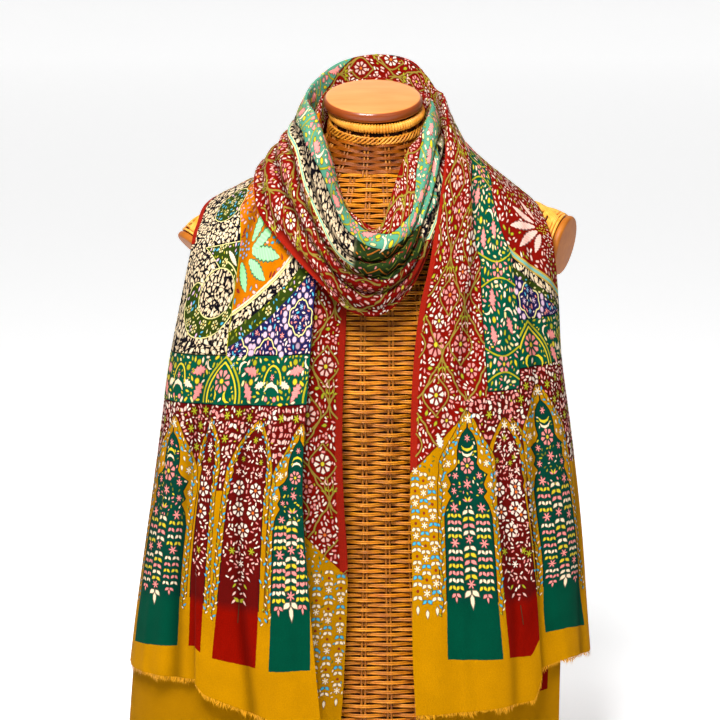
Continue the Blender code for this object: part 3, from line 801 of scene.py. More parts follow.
# ---- laying small motifs on a surface -------------------------------------------------
def laying_tree():
    """Puts motifs on flat points and lays them on a carrier by its flat UV map."""
    tree = bpy.data.node_groups.new("lay_on_surface", "GeometryNodeTree")
    for name, kind in (("Geometry", "Geometry"), ("Motifs", "Collection"), ("Carrier", "Object"),
                       ("Lift", "Float"), ("Material", "Material")):
        tree.interface.new_socket(name, in_out="INPUT", socket_type="NodeSocket" + kind)
    tree.interface.new_socket("Geometry", in_out="OUTPUT", socket_type="NodeSocketGeometry")
    nodes = Nodes(tree)

    def attribute(name, kind):
        return nodes.value("GeometryNodeInputNamedAttribute", {"data_type": kind}, {"Name": name})

    given = nodes.add("NodeGroupInput").outputs
    motifs = nodes.add("GeometryNodeCollectionInfo", {},
                       {"Collection": given["Motifs"], "Separate Children": True, "Reset Children": True})
    placed = nodes.add("GeometryNodeInstanceOnPoints", {}, {
        "Points": given["Geometry"], "Instance": motifs.outputs[0], "Pick Instance": True,
        "Instance Index": attribute("motif", "INT"),
        "Rotation": nodes.vector(0.0, 0.0, attribute("turn", "FLOAT")),
        "Scale": attribute("size", "FLOAT_VECTOR")})
    real = nodes.add("GeometryNodeRealizeInstances", {}, {"Geometry": placed.outputs[0]})
    x, y, z = nodes.parts(nodes.value("GeometryNodeInputPosition"))
    carrier = nodes.add("GeometryNodeObjectInfo", {}, {"Object": given["Carrier"]})
    flat_place = nodes.vector(x, y, 0.0)

    def on_carrier(value, kind="FLOAT_VECTOR"):
        inputs = {"Mesh": carrier.outputs["Geometry"], 1: value, 2: attribute("flat", "FLOAT_VECTOR"),
                  3: flat_place}
        return nodes.add("GeometryNodeSampleUVSurface", {"data_type": kind}, inputs)

    foot = on_carrier(nodes.value("GeometryNodeInputPosition"))
    facing = on_carrier(attribute("facing", "FLOAT_VECTOR"))
    rise = nodes.value("ShaderNodeVectorMath", {"operation": "SCALE"},
                       {0: facing.outputs[0], 3: z + Value(nodes, given["Lift"])})
    point = nodes.value("ShaderNodeVectorMath", {"operation": "ADD"}, {0: foot.outputs[0], 1: rise})
    outside = nodes.value("FunctionNodeBooleanMath", {"operation": "NOT"}, {0: foot.outputs[1]})
    # the cloth's painted shade, carried onto the motifs laid on it
    depth = on_carrier(attribute("hollow", "FLOAT"), "FLOAT")
    shaded = nodes.add("GeometryNodeStoreNamedAttribute", {"data_type": "FLOAT", "domain": "POINT"},
                       {"Geometry": real.outputs[0], "Name": "hollow", "Value": depth.outputs[0]})
    kept = nodes.add("GeometryNodeDeleteGeometry", {"domain": "POINT"},
                     {"Geometry": shaded.outputs[0], "Selection": outside})
    laid = nodes.add("GeometryNodeSetPosition", {}, {"Geometry": kept.outputs[0], "Position": point})
    done = nodes.add("GeometryNodeSetMaterial", {},
                     {"Geometry": laid.outputs[0], "Material": given["Material"]})
    nodes.add("NodeGroupOutput", {}, {0: done.outputs[0]})
    return tree


def cane_mesh(name, waves, phase, rise, radius, segments):
    """Round strand from x 0 to 1 that passes over and under as it goes."""
    sides = 4
    vertices = []
    for step in range(segments + 1):
        x = step / segments
        wave = math.sin(2 * math.pi * waves * x + phase)
        middle = rise * math.copysign(abs(wave) ** 0.8, wave)
        for side in range(sides):
            angle = 2 * math.pi * side / sides + math.pi / 2
            vertices.append((x, radius * math.cos(angle), middle + radius * math.sin(angle)))
    faces = []
    for step in range(segments):
        for side in range(sides):
            a = step * sides + side
            b = step * sides + (side + 1) % sides
            faces.append((a, a + sides, b + sides, b))
    return motif(name, vertices, faces, [(x, y, 0.0) for x, y, _z in vertices])


LEVEL_STEP = 0.00022


class Layout:
    """Motifs gathered in a flat frame, before they are laid on their carrier."""

    def __init__(self):
        self.rows = []

    def put(self, motif, x, y, turn, length, width, colour, height=1.0, level=0):
        self.rows.append((motif, x, y, level * LEVEL_STEP, turn, length, width, height, *dye(colour)))

    def lay(self, name, carrier, collection, material, lift):
        """One plain mesh with every motif on the carrier."""
        table = np.array(self.rows, dtype=np.float32)
        seeds = new_object(name + "_seeds", table[:, 1:4], np.zeros((0, 3), dtype=int))
        mesh = seeds.data
        layer = mesh.attributes.new("motif", "INT", "POINT")
        layer.data.foreach_set("value", table[:, 0].astype(np.int32))
        put_values(mesh, "turn", table[:, 4])
        put_vectors(mesh, "size", table[:, 5:8])
        put_vectors(mesh, "thread", table[:, 8:11])
        modifier = seeds.modifiers.new("lay", "NODES")
        tree = bpy.data.node_groups.get("lay_on_surface") or laying_tree()
        modifier.node_group = tree
        values = {"Motifs": collection, "Carrier": carrier, "Lift": lift, "Material": material}
        for item in tree.interface.items_tree:
            if item.in_out == "INPUT" and item.name in values:
                modifier[item.identifier] = values[item.name]
        view = bpy.context.evaluated_depsgraph_get()
        plain = bpy.data.meshes.new_from_object(seeds.evaluated_get(view))
        plain.name = name
        for extra in ("motif", "turn", "size"):
            layer = plain.attributes.get(extra)
            if layer is not None:
                plain.attributes.remove(layer)
        plain.shade_smooth()
        made = bpy.data.objects.new(name, plain)
        bpy.context.scene.collection.objects.link(made)
        bpy.data.objects.remove(seeds)
        return made


def carrier_of(name, points, normals, flat, hollow=None):
    """Bare surface that motifs are laid on; it is removed when they are."""
    rows, columns = points.shape[:2]
    made = new_object(name, points.reshape(-1, 3), grid_faces(rows, columns))
    put_uv(made.data, "flat", flat.reshape(-1, 2))
    put_vectors(made.data, "facing", normals.reshape(-1, 3))
    # painted shade of the cloth under the motifs
    put_values(made.data, "hollow", np.zeros(rows * columns) if hollow is None else hollow)
    return made


def motif_collection(name, objects):
    collection = bpy.data.collections.new(name)
    for piece in objects:
        collection.objects.link(piece)
    return collection


# ---- zones of the pattern -------------------------------------------------------------
SHAWL_LENGTH = 2.4249
PANEL_FOOT = 0.0625
PLAIN_TOP = 0.122
HEM_SLANT = 0.110
HEM_SLANT_TOP = 0.300
TEAL_LOW, TEAL_HIGH = 0.345, 0.401
TEAL_FALL = 0.040
# distance below an arch's top; half width outside and inside a green arch, the same of a red one
ARCH_PROFILE = (
    (0.000, 0.0000, 0.0000, 0.0000, 0.0000), (0.006, 0.0055, 0.0000, 0.0080, 0.0000),
    (0.014, 0.0108, 0.0000, 0.0150, 0.0060), (0.020, 0.0134, 0.0005, 0.0199, 0.0116),
    (0.026, 0.0166, 0.0060, 0.0240, 0.0163), (0.032, 0.0204, 0.0094, 0.0273, 0.0197),
    (0.040, 0.0262, 0.0116, 0.0305, 0.0225), (0.048, 0.0312, 0.0124, 0.0329, 0.0241),
    (0.054, 0.0342, 0.0121, 0.0345, 0.0272), (0.060, 0.0354, 0.0112, 0.0357, 0.0244),
    (0.066, 0.0350, 0.0150, 0.0352, 0.0256), (0.072, 0.0355, 0.0242, 0.0350, 0.0276),
    (0.078, 0.0363, 0.0212, 0.0350, 0.0250), (0.083, 0.0366, 0.0193, 0.0351, 0.0262),
    (0.087, 0.0361, 0.0206, 0.0350, 0.0276), (0.091, 0.0360, 0.0232, 0.0350, 0.0262),
    (0.097, 0.0359, 0.0188, 0.0349, 0.0268), (0.106, 0.0358, 0.0242, 0.0348, 0.0270),
    (0.119, 0.0356, 0.0276, 0.0347, 0.0270), (0.200, 0.0346, 0.0270, 0.0346, 0.0270),
)
PROFILE_SCALE = 0.050
PANEL_HALF = 0.027
# centre across at the foot and at the top, half width, height of the top, kind
LEFT_PANELS = (
    (0.166, 0.150, 0.0240, 0.331, "red"),
    (0.103, 0.071, 0.0265, 0.332, "red"),
    (0.241, 0.226, 0.0360, 0.327, "green"),
    (0.036, 0.004, 0.0240, 0.330, "green"),
)
RIGHT_PANELS = (
    (0.176, 0.150, 0.0230, 0.318, "red"),
    (0.124, 0.136, 0.0250, 0.322, "red"),
    (0.240, 0.196, 0.0310, 0.356, "green"),
    (0.064, 0.081, 0.0300, 0.332, "green"),
)
# along, across and radius
LEFT_MEDALLION = (0.866, 0.357, 0.459)
RIGHT_MEDALLION = (1.5805, 0.730, 1.200)
LEFT_SUN = (0.526, 0.160)
RIGHT_SUN = (0.562, 0.272)
MEDALLION_EDGE = 0.1465
# grounds of the rings round a disc, outermost first, and how far each stands out from its edge
LEFT_RINGS = (("leaf_ring", "olive_ground", 0.042), ("rose_ring", "night", 0.024),
              ("cream_line", "pale_yellow", 0.0062), ("line", "amber_line", 0.0034),
              ("cream_line", "cream", 0.0026), ("amber", "amber", 0.0))
RIGHT_RINGS = (("leaf_ring", "olive_ground", 0.027), ("rose_ring", "night", 0.019),
               ("cream_line", "gold", 0.0085), ("sky_line", "dull_sky", 0.0062),
               ("cream_line", "gold", 0.0024), ("red_sun", "red", 0.0))
# foot along and across from the disc's centre, turn, length and width of the large leaves
LEFT_LEAVES = ((0.009, -0.015, 326, 0.052, 0.019), (0.000, -0.018, 298, 0.060, 0.020),
               (-0.003, -0.019, 264, 0.062, 0.021), (-0.013, -0.016, 242, 0.048, 0.019),
               (-0.016, 0.001, 216, 0.042, 0.017))
RIGHT_LEAVES = ((-0.016, -0.021, 233, 0.042, 0.016), (-0.004, -0.026, 262, 0.060, 0.017),
                (0.005, -0.025, 282, 0.068, 0.018), (0.013, -0.020, 302, 0.060, 0.018),
                (0.018, -0.012, 326, 0.042, 0.018))
# centre and radii of the paisley's ovals; centre of its curl; slope and end of its lobe
PAISLEY_BODY = ((0.466, 0.209), (0.046, 0.056))
PAISLEY_CORE = ((0.473, 0.197), (0.0285, 0.0345))
PAISLEY_CURL = (0.468, 0.243)
LOBE_START, LOBE_END = 0.462, 0.5360
PAISLEY_PATCH = (0.612, 0.218)
# heights of the right end's teal band above the hem, and where its strip begins
RIGHT_TEAL_LOW, RIGHT_TEAL_HIGH = 0.3755, 0.4305
RIGHT_TEAL_FALL = 0.035
STRIP_START = 0.3525
# heights above each end's hem where the border of stars begins
STAR_LOW_LEFT, STAR_LOW_RIGHT = 0.250, 0.262
# place along the shawl, place across: edges of the bands that follow the rolled edge at the neck
ROLL_INNER = ((0.930, 0.016), (0.994, 0.018), (1.044, 0.019), (1.073, 0.030), (1.091, 0.045), (1.112, 0.060),
              (1.134, 0.054), (1.155, 0.040), (1.177, 0.019), (1.210, 0.009), (1.300, 0.006), (1.470, 0.004),
              (1.519, 0.024), (1.575, 0.062))
ROLL_OUTER = ((0.930, 0.046), (0.994, 0.049), (1.010, 0.068), (1.030, 0.080), (1.050, 0.098), (1.075, 0.101),
              (1.112, 0.088), (1.155, 0.056), (1.177, 0.044), (1.202, 0.034), (1.235, 0.033), (1.270, 0.036),
              (1.300, 0.042), (1.350, 0.058), (1.389, 0.056), (1.422, 0.050), (1.500, 0.060), (1.575, 0.062))
LACE_OUTER = ((0.930, 0.060), (0.994, 0.070), (1.030, 0.104), (1.080, 0.126), (1.112, 0.116), (1.155, 0.074),
              (1.190, 0.078), (1.260, 0.077), (1.310, 0.081), (1.370, 0.078), (1.440, 0.064))
ZIGZAG_OUTER = ((1.000, 0.130), (1.095, 0.136), (1.155, 0.108), (1.205, 0.078), (1.300, 0.078))
BAND_SCALE = 0.140
RIGHT_UNDER_LENGTH = 0.556
LINE = 0.0008
LACE_SCALE = 125.0


def over(value, edge, soft=0.0005):
    """1 above an edge and 0 below it, on numbers or on node values."""
    if isinstance(value, Value):
        return value.over(edge, soft)
    return np.clip((value - edge) / soft + 0.5, 0, 1)


def between(value, low, high, soft=0.0005):
    return over(value, low, soft) * (1 - over(value, high, soft))


def distance_to(x, y, centre_x, centre_y):
    along = x - centre_x
    across = y - centre_y
    square = across * across + along * along
    return square.math("SQRT") if isinstance(square, Value) else np.sqrt(square)


def stretched_distance(x, y, centre, radii):
    """Distance from a centre as a share of an oval's radius."""
    return distance_to((x - centre[0]) * (1 / radii[0]), (y - centre[1]) * (1 / radii[1]), 0.0, 0.0)


def held(value):
    """The value kept from 0 to 1."""
    return value.math("ADD", 0.0, clamp=True) if isinstance(value, Value) else np.clip(value, 0, 1)


def bent_line(value, rows, scale):
    """Value read off straight stretches between rows of (place, value), on numbers or on node values."""
    if isinstance(value, Value):
        start, spread = rows[0][0], rows[-1][0] - rows[0][0]
        stops = tuple(((row[0] - start) / spread, (row[1] / scale,) * 3) for row in rows)
        share = (value - start) * (1 / spread)
        return value.nodes.ramp(share, *stops) * scale
    return np.interp(value, [row[0] for row in rows], [row[1] for row in rows])


def arch_half_width(drop, column):
    """Half width of an arch at a distance below its top."""
    return bent_line(drop, [(row[0], row[column]) for row in ARCH_PROFILE], PROFILE_SCALE)


def panel_centre(panel, v):
    return panel[0] + (panel[1] - panel[0]) / panel[3] * v


def ring_zones(field, away, radius, rings):
    """Rings round a disc, each inside the one before."""
    return [(name, ground, field * (1 - over(away, radius + reach))) for name, ground, reach in rings]


def arch_zones(v, y, panels):
    """Mustard arches with dark outlines, and in each of them a green or a red panel."""
    zones = []
    for panel in panels:
        half, height, kind = panel[2:]
        column = 1 if kind == "green" else 3
        reach = abs(y - panel_centre(panel, v))
        drop = height - v
        low = over(drop, 0.0) * over(v, PANEL_FOOT)
        above = over(v, PLAIN_TOP)
        scale = half / PANEL_HALF
        outer = arch_half_width(drop, column) * scale - reach
        inner = arch_half_width(drop, column + 1) * scale - reach
        upper, block = ("deep_green", "green_block") if kind == "green" else ("deep_red", "scarlet")
        zones += [
            ("line", "bark", over(outer, -LINE) * low * above),
            ("arch", "mustard", over(outer, LINE / 2) * low),
            ("line", "night", over(inner, -LINE) * low * above),
            (kind + "_panel", upper, over(inner, LINE / 2) * low),
            (kind + "_block", block, over(inner, 0.0) * low * (1 - over(v, PLAIN_TOP, 0.012)))]
    return zones


def slanted(x, y):
    """Height above the hem; the foot of the pattern slants across the cloth."""
    return x + y * HEM_SLANT * (1 - held(x * (1 / HEM_SLANT_TOP)))


def everywhere(x):
    return 1.0 if isinstance(x, Value) else np.ones_like(x)


def left_zones(x, y):
    v = slanted(x, y)
    band = x + (y - 0.15) * TEAL_FALL
    field = over(band, TEAL_HIGH + 0.0014)
    beside = over(y - (x - 0.41) * 0.22, MEDALLION_EDGE)
    return [
        ("mustard", "mustard", everywhere(x)),
        ("star_red", "deep_red", over(v, STAR_LOW_LEFT)),
        *arch_zones(v, y, LEFT_PANELS),
        ("line", "night", over(band, TEAL_LOW - 0.0012)),
        ("teal", "teal", over(band, TEAL_LOW)),
        ("line", "night", over(band, TEAL_HIGH)),
        ("indigo", "indigo", field),
        *ring_zones(field, distance_to(x, y, *LEFT_MEDALLION[:2]), LEFT_MEDALLION[2], LEFT_RINGS),
        ("line", "spring", field * over(y - (x - 0.41) * 0.22, MEDALLION_EDGE - 0.0012)),
        ("night", "night", field * beside),
        *paisley_zones(x, y, beside),
        ("red_vine", "red", over(x, 0.672)),
    ]


def paisley_zones(x, y, beside):
    """Paisley beside the left medallion: a lobe, a body with a curl, its dark core, and a small patch."""
    body = stretched_distance(x, y, *PAISLEY_BODY)
    core = stretched_distance(x, y, *PAISLEY_CORE)
    curl = distance_to(x, y, *PAISLEY_CURL)
    patch = distance_to(x, y, *PAISLEY_PATCH)
    cut = 1 - over(x, 0.470) * over(y, 0.197)
    slope = (x - 0.489) * 1.65 + 0.181 - y
    lean = (y - 0.174) * 0.08
    lobe = over(slope, 0.0) * over(LOBE_END - x - lean, 0.0) * over(x, LOBE_START)
    rim = over(slope, -0.0020) * over(x, LOBE_START) * over(LOBE_END + 0.0012 - x - lean, 0.0)
    return [
        ("line", "pale_yellow", rim * beside),
        ("paisley", "olive_ground", lobe * beside),
        ("line", "pale_yellow", over(1.034 - body, 0.0, 0.01) * cut * beside),
        ("line", "pale_yellow", over(0.0160 - curl, 0.0) * beside),
        ("paisley", "olive_ground", over(1.0 - body, 0.0, 0.01) * cut * beside),
        ("paisley", "olive_ground", over(0.0146 - curl, 0.0) * beside),
        ("line", "pale_yellow", over(1.05 - core, 0.0, 0.02) * beside),
        ("night", "night", over(1.0 - core, 0.0, 0.02) * beside),
        ("coral", "coral", over(y, 0.2895) * over(x, 0.545)),
        ("line", "pale_yellow", 1 - over(patch, 0.0350)),
        ("paisley", "olive_ground", 1 - over(patch, 0.0335)),
    ]


def strip_edges(v):
    """Inner and outer edge of the teal strip at a height above the hem."""
    inner = 0.1125 - held((v - 0.500) * (1 / 0.068)) * 0.0385
    outer = 0.163 + held((v - 0.349) * (1 / 0.09)) * 0.0165 - held((v - 0.505) * (1 / 0.070)) * 0.0525
    return inner, outer


def right_zones(x, y):
    v = slanted(SHAWL_LENGTH - x, y)
    slope = v - STAR_LOW_RIGHT - y * 0.86
    sloped = v - (y - 0.172) * RIGHT_TEAL_FALL
    left_of_arches = 1 - over(y, 0.079)
    side = over(y, 0.130)
    high = over(sloped, RIGHT_TEAL_HIGH + 0.0013) * side
    inner, outer = strip_edges(v)
    selvedge = (v - 0.500) * (-0.05) * held((v - 0.500) * 30.0) + 0.0095
    return [
        ("mustard", "mustard", everywhere(x)),
        ("star_red", "deep_red", over(v, STAR_LOW_RIGHT) * over(y, 0.079)),
        *arch_zones(v, y, RIGHT_PANELS),
        ("line", "bark", over(slope, -0.0012) * left_of_arches),
        ("red_vine", "red", over(slope, 0.0) * left_of_arches),
        ("red_vine", "red", over(v, 0.348) * (1 - over(y, 0.125))),
        ("line", "night", over(sloped, RIGHT_TEAL_LOW - 0.0013) * side),
        ("teal", "teal", over(sloped, RIGHT_TEAL_LOW) * side),
        ("line", "night", over(sloped, RIGHT_TEAL_HIGH) * side),
        ("indigo", "indigo", high),
        *ring_zones(high, distance_to(v, y, *RIGHT_MEDALLION[:2]), RIGHT_MEDALLION[2], RIGHT_RINGS),
        ("red_vine", "red", over(v, 0.345) * (1 - over(y - inner, 0.0))),
        ("line", "night", over(v, STRIP_START - 0.0013) * over(y - inner, -0.0012) * (1 - over(y - outer, 0.0012))),
        ("teal_strip", "teal", over(v, STRIP_START) * over(y - inner, 0.0) * (1 - over(y - outer, 0.0))),
        ("coral", "coral", over(selvedge - y, 0.0) * over(v, 0.2655)),
    ]


def neck_zones(x, y):
    inner = bent_line(x, ROLL_INNER, BAND_SCALE)
    outer = bent_line(x, ROLL_OUTER, BAND_SCALE) - y
    lace = bent_line(x, LACE_OUTER, BAND_SCALE) - y
    dark = bent_line(x, ZIGZAG_OUTER, BAND_SCALE) - y
    cowl_part = between(x, 0.990, 1.440, 0.03)
    under = between(x, 1.098, 1.200, 0.006)
    strip = cowl_part * (1 - under)
    rolled = over(x, 0.930, 0.02)
    hem = y - held((x - 1.256) * 15.0) * 0.014
    return [
        ("red_vine", "red", everywhere(x)),
        ("coral", "coral", between(x, 1.250, 1.328, 0.012) * over(hem, 0.1500)),
        ("coral", "coral", between(x, 1.04, 1.13, 0.02) * over(y, 0.1400)),
        ("pale_line", "pale_yellow", strip * over(lace, -0.0042)),
        ("sky_line", "dull_sky", strip * over(lace, -0.0028)),
        ("line", "pale_yellow", strip * over(lace, -0.0008)),
        ("rose_ring", "night", strip * over(lace, 0.0)),
        ("line", "night", under * over(dark, -0.0012)),
        ("zigzag", "zigzag_green", under * over(dark, 0.0)),
        ("line", "night", rolled * over(outer, -0.0012) * cowl_part),
        ("red_vine", "red", rolled * over(outer, 0.0) * (1 - over(y - inner, 0.0))),
        ("line", "night", rolled * over(outer, 0.0) * over(y - inner, -0.0012)),
        ("teal_roll", "roll_teal", rolled * over(outer, 0.0) * over(y - inner, 0.0)),
    ]


def left_under_zones(x, y):
    slope = x - 0.205 - y * 0.9
    return [("mustard", "mustard", everywhere(x)),
            ("red_vine", "red", over(slope, 0.0)),
            ("coral", "coral", over(0.0100 - y, 0.0) * over(x, 0.212))]


def right_under_zones(x, y):
    v = RIGHT_UNDER_LENGTH - x
    return [("mustard", "mustard", everywhere(x)),
            ("red_block", "scarlet", between(v, 0.046, 0.110) * between(y, 0.225, 0.268)),
            ("red_vine", "red", over(v, 0.330))]


ZONES = {"left_end_front": left_zones, "right_end_front": right_zones, "cowl": neck_zones,
         "nape_inner_pass": neck_zones, "nape_outer_pass": neck_zones,
         "left_end_under": left_under_zones, "right_end_under": right_under_zones}


def zone_names(zone_function, x, y):
    """Name of the zone at each of some flat places."""
    x, y = np.atleast_1d(x).astype(float), np.atleast_1d(y).astype(float)
    names = np.array(["none"] * len(x), dtype=object)
    for name, _ground, mask in zone_function(x, y):
        names[np.broadcast_to(mask, x.shape) > 0.5] = name
    return names


def painted_shade_brightness(nodes):
    """Brightness of wool that lies deep in a fold."""
    return 1 - nodes.attribute("hollow", 2) * 0.62


def cloth_material(name, zone_function):
    """Dyed wool: grounds laid out in the cloth's flat frame, a fine twill and a soft nap."""
    material, nodes, shader = new_material(name, {
        "Roughness": 0.88, "Sheen Weight": 0.012, "Sheen Roughness": 0.5, "Specular IOR Level": 0.01})
    flat = nodes.value("ShaderNodeUVMap", {"uv_map": "flat"})
    x, y, _z = nodes.parts(flat)
    wander = nodes.noise(flat, 240.0, 2.0) - 0.5
    colour = None
    torn = nodes.vector(x + wander * 0.0030, y + nodes.noise(flat, 170.0, 1.0) * 0.0030, 0.0)
    gap = nodes.value("ShaderNodeTexVoronoi", {"feature": "DISTANCE_TO_EDGE"}, {"Vector": torn, "Scale": LACE_SCALE})
    lace = nodes.mix(gap.over(0.17, 0.08), dye("night"), dye("ivory"))
    for zone, name_of_dye, mask in zone_function(x + wander * 0.0012, y + wander * 0.0010):
        ground = lace if zone in ("night", "rose_ring") else dye(name_of_dye)
        colour = nodes.mix(1.0, ground, ground) if colour is None else nodes.mix(mask, colour, ground)
    heather = nodes.noise(flat, 620.0, 3.0, 0.75)
    broad = nodes.noise(flat, 26.0, 3.0, 0.6)
    # random tone of the wool, times the painted shade
    colour = nodes.shade(colour, (0.52 + heather * 0.62 + broad * 0.34) * painted_shade_brightness(nodes))
    twill = ((x + y) * 3600.0).math("SINE")
    fuzz = nodes.noise(flat, 1300.0, 2.0, 0.7)
    paint(nodes, shader, colour)
    bump(nodes, shader, twill * 0.3 + fuzz * 1.8 + heather * 1.4, 0.0004, 0.7)
    return material


def stitch_material():
    """Satin stitch in wool, with a dark outline round each motif."""
    found = bpy.data.materials.get("embroidery_wool")
    if found is not None:
        return found
    material, nodes, shader = new_material("embroidery_wool", {
        "Roughness": 0.6, "Sheen Weight": 0.02, "Sheen Roughness": 0.5, "Specular IOR Level": 0.12})
    thread = nodes.attribute("thread", 0)
    x, y, rim = nodes.parts(nodes.attribute("stitch", 1))
    ridges = ((x + y * 0.3) * 60.0).math("SINE") * 0.5 + 0.5
    outline = rim.over(0.76, 0.16)
    # painted shade: each ridge is painted lighter on top and darker between ridges, times the cloth's painted shade
    colour = nodes.shade(thread, (0.84 + ridges * 0.22) * painted_shade_brightness(nodes))
    colour = nodes.mix(outline * 0.85, colour, (0.016, 0.008, 0.008))
    paint(nodes, shader, colour)
    bump(nodes, shader, ridges, 0.00012, 0.5)
    return material


# ---- motifs ---------------------------------------------------------------------------
# how far the middle of a motif stands proud of its rim
DOME = 0.0004


def fan_motif(name, parts, dome=DOME, rim_value=1.0):
    """Filled shapes: each is a rim round one middle point that stands a little proud."""
    vertices = []
    faces = []
    stitch = []
    for rim, middle in parts:
        start = len(vertices)
        vertices += [(x, y, 0.0) for x, y in rim] + [(*middle, dome)]
        stitch += [(x, y, rim_value) for x, y in rim] + [(*middle, 0.0)]
        count = len(rim)
        faces += [(start + side, start + (side + 1) % count, start + count) for side in range(count)]
    return motif(name, vertices, faces, stitch)


def band_motif(name, left, middle, right):
    """Filled strip between two edges, with a middle line that stands a little proud."""
    rows = ((left, 0.0, 1.0), (middle, DOME, 0.0), (right, 0.0, 1.0))
    vertices = [(x, y, height) for row, height, _rim in rows for x, y in row]
    stitch = [(x, y, rim) for row, _height, rim in rows for x, y in row]
    count = len(middle)
    faces = [(a, a + count, a + count + 1, a + 1) for step in range(count - 1) for a in (step, step + count)]
    return motif(name, vertices, faces, stitch)


def round_rim(count, radii):
    """Rim whose radius goes through some values again and again."""
    return [(radii[step % len(radii)] * math.cos(2 * math.pi * step / count),
             radii[step % len(radii)] * math.sin(2 * math.pi * step / count)) for step in range(count)]


def mirrored(half):
    """Rim from its half above the x axis, end points on the axis."""
    return half[::-1] + [(x, -y) for x, y in half[1:-1]]


def turned(rim, degrees, shift=(0.0, 0.0)):
    angle = math.radians(degrees)
    return [(x * math.cos(angle) - y * math.sin(angle) + shift[0],
             x * math.sin(angle) + y * math.cos(angle) + shift[1]) for x, y in rim]


LEAF_RIM = mirrored([(0.0, 0.0), (0.28, 0.46), (0.62, 0.42), (1.0, 0.0)])
MOTIF_NAMES = ("chevron", "crescent", "dash", "dot", "feather", "leaf", "palm", "petal", "star", "vine")


def build_motifs():
    """Meshes of the motifs, in the order of their names."""
    slim = [(x, y * 0.62) for x, y in LEAF_RIM]
    arms = [(turned(slim, turn, (-0.35, side * 0.04)), turned([(0.45, 0.0)], turn, (-0.35, side * 0.04))[0])
            for side, turn in ((1, 42), (-1, -42))]
    arc = [math.radians(turn) for turn in (-72, -36, 0, 36, 72)]
    thick = (0.02, 0.10, 0.14, 0.10, 0.02)
    crescent = [[((0.5 + side * t) * math.sin(a), (0.5 + side * t) * math.cos(a) - 0.3)
                 for a, t in zip(arc, thick)] for side in (1, 0, -1)]
    stations = [index / 14 for index in range(15)]
    serrated = [0.5 * math.sin(math.pi * min(at * 0.94 + 0.06, 1.0)) ** 0.8 * (1.0 if index % 2 else 0.78)
                for index, at in enumerate(stations)]
    serrated[-1] = 0.01
    feather = [[(at, side * wide) for at, wide in zip(stations, serrated)] for side in (1, 0, -1)]
    palm = [(-0.60, 0.0), (-0.42, 0.08), (-0.38, 0.30), (-0.26, 0.20), (-0.10, 0.44), (0.02, 0.24), (0.16, 0.37),
            (0.26, 0.17), (0.40, 0.20), (0.64, 0.0)]
    petal = mirrored([(0.0, 0.0), (0.42, 0.30), (0.78, 0.48), (1.0, 0.0)])
    made = (
        fan_motif("chevron", arms),
        band_motif("crescent", *crescent),
        fan_motif("dash", [(mirrored([(-0.5, 0.0), (-0.34, 0.5), (0.34, 0.5), (0.5, 0.0)]), (0.0, 0.0))]),
        fan_motif("dot", [(round_rim(8, (0.5,)), (0.0, 0.0))]),
        band_motif("feather", *feather),
        fan_motif("leaf", [(LEAF_RIM, (0.45, 0.0))]),
        fan_motif("palm", [(mirrored(palm), (0.0, 0.0))], rim_value=0.90),
        fan_motif("petal", [(petal, (0.62, 0.0))]),
        fan_motif("star", [(round_rim(18, (0.15, 0.5, 0.5)), (0.0, 0.0))]),
        band_motif("vine", *([(-0.5, y), (0.5, y)] for y in (0.5, 0.0, -0.5))),
    )
    return motif_collection("motifs", made)


# a place and four round it, as shares of a radius
ROUND_IT = ((0, 0), (1, 0), (-1, 0), (0, 1), (0, -1))


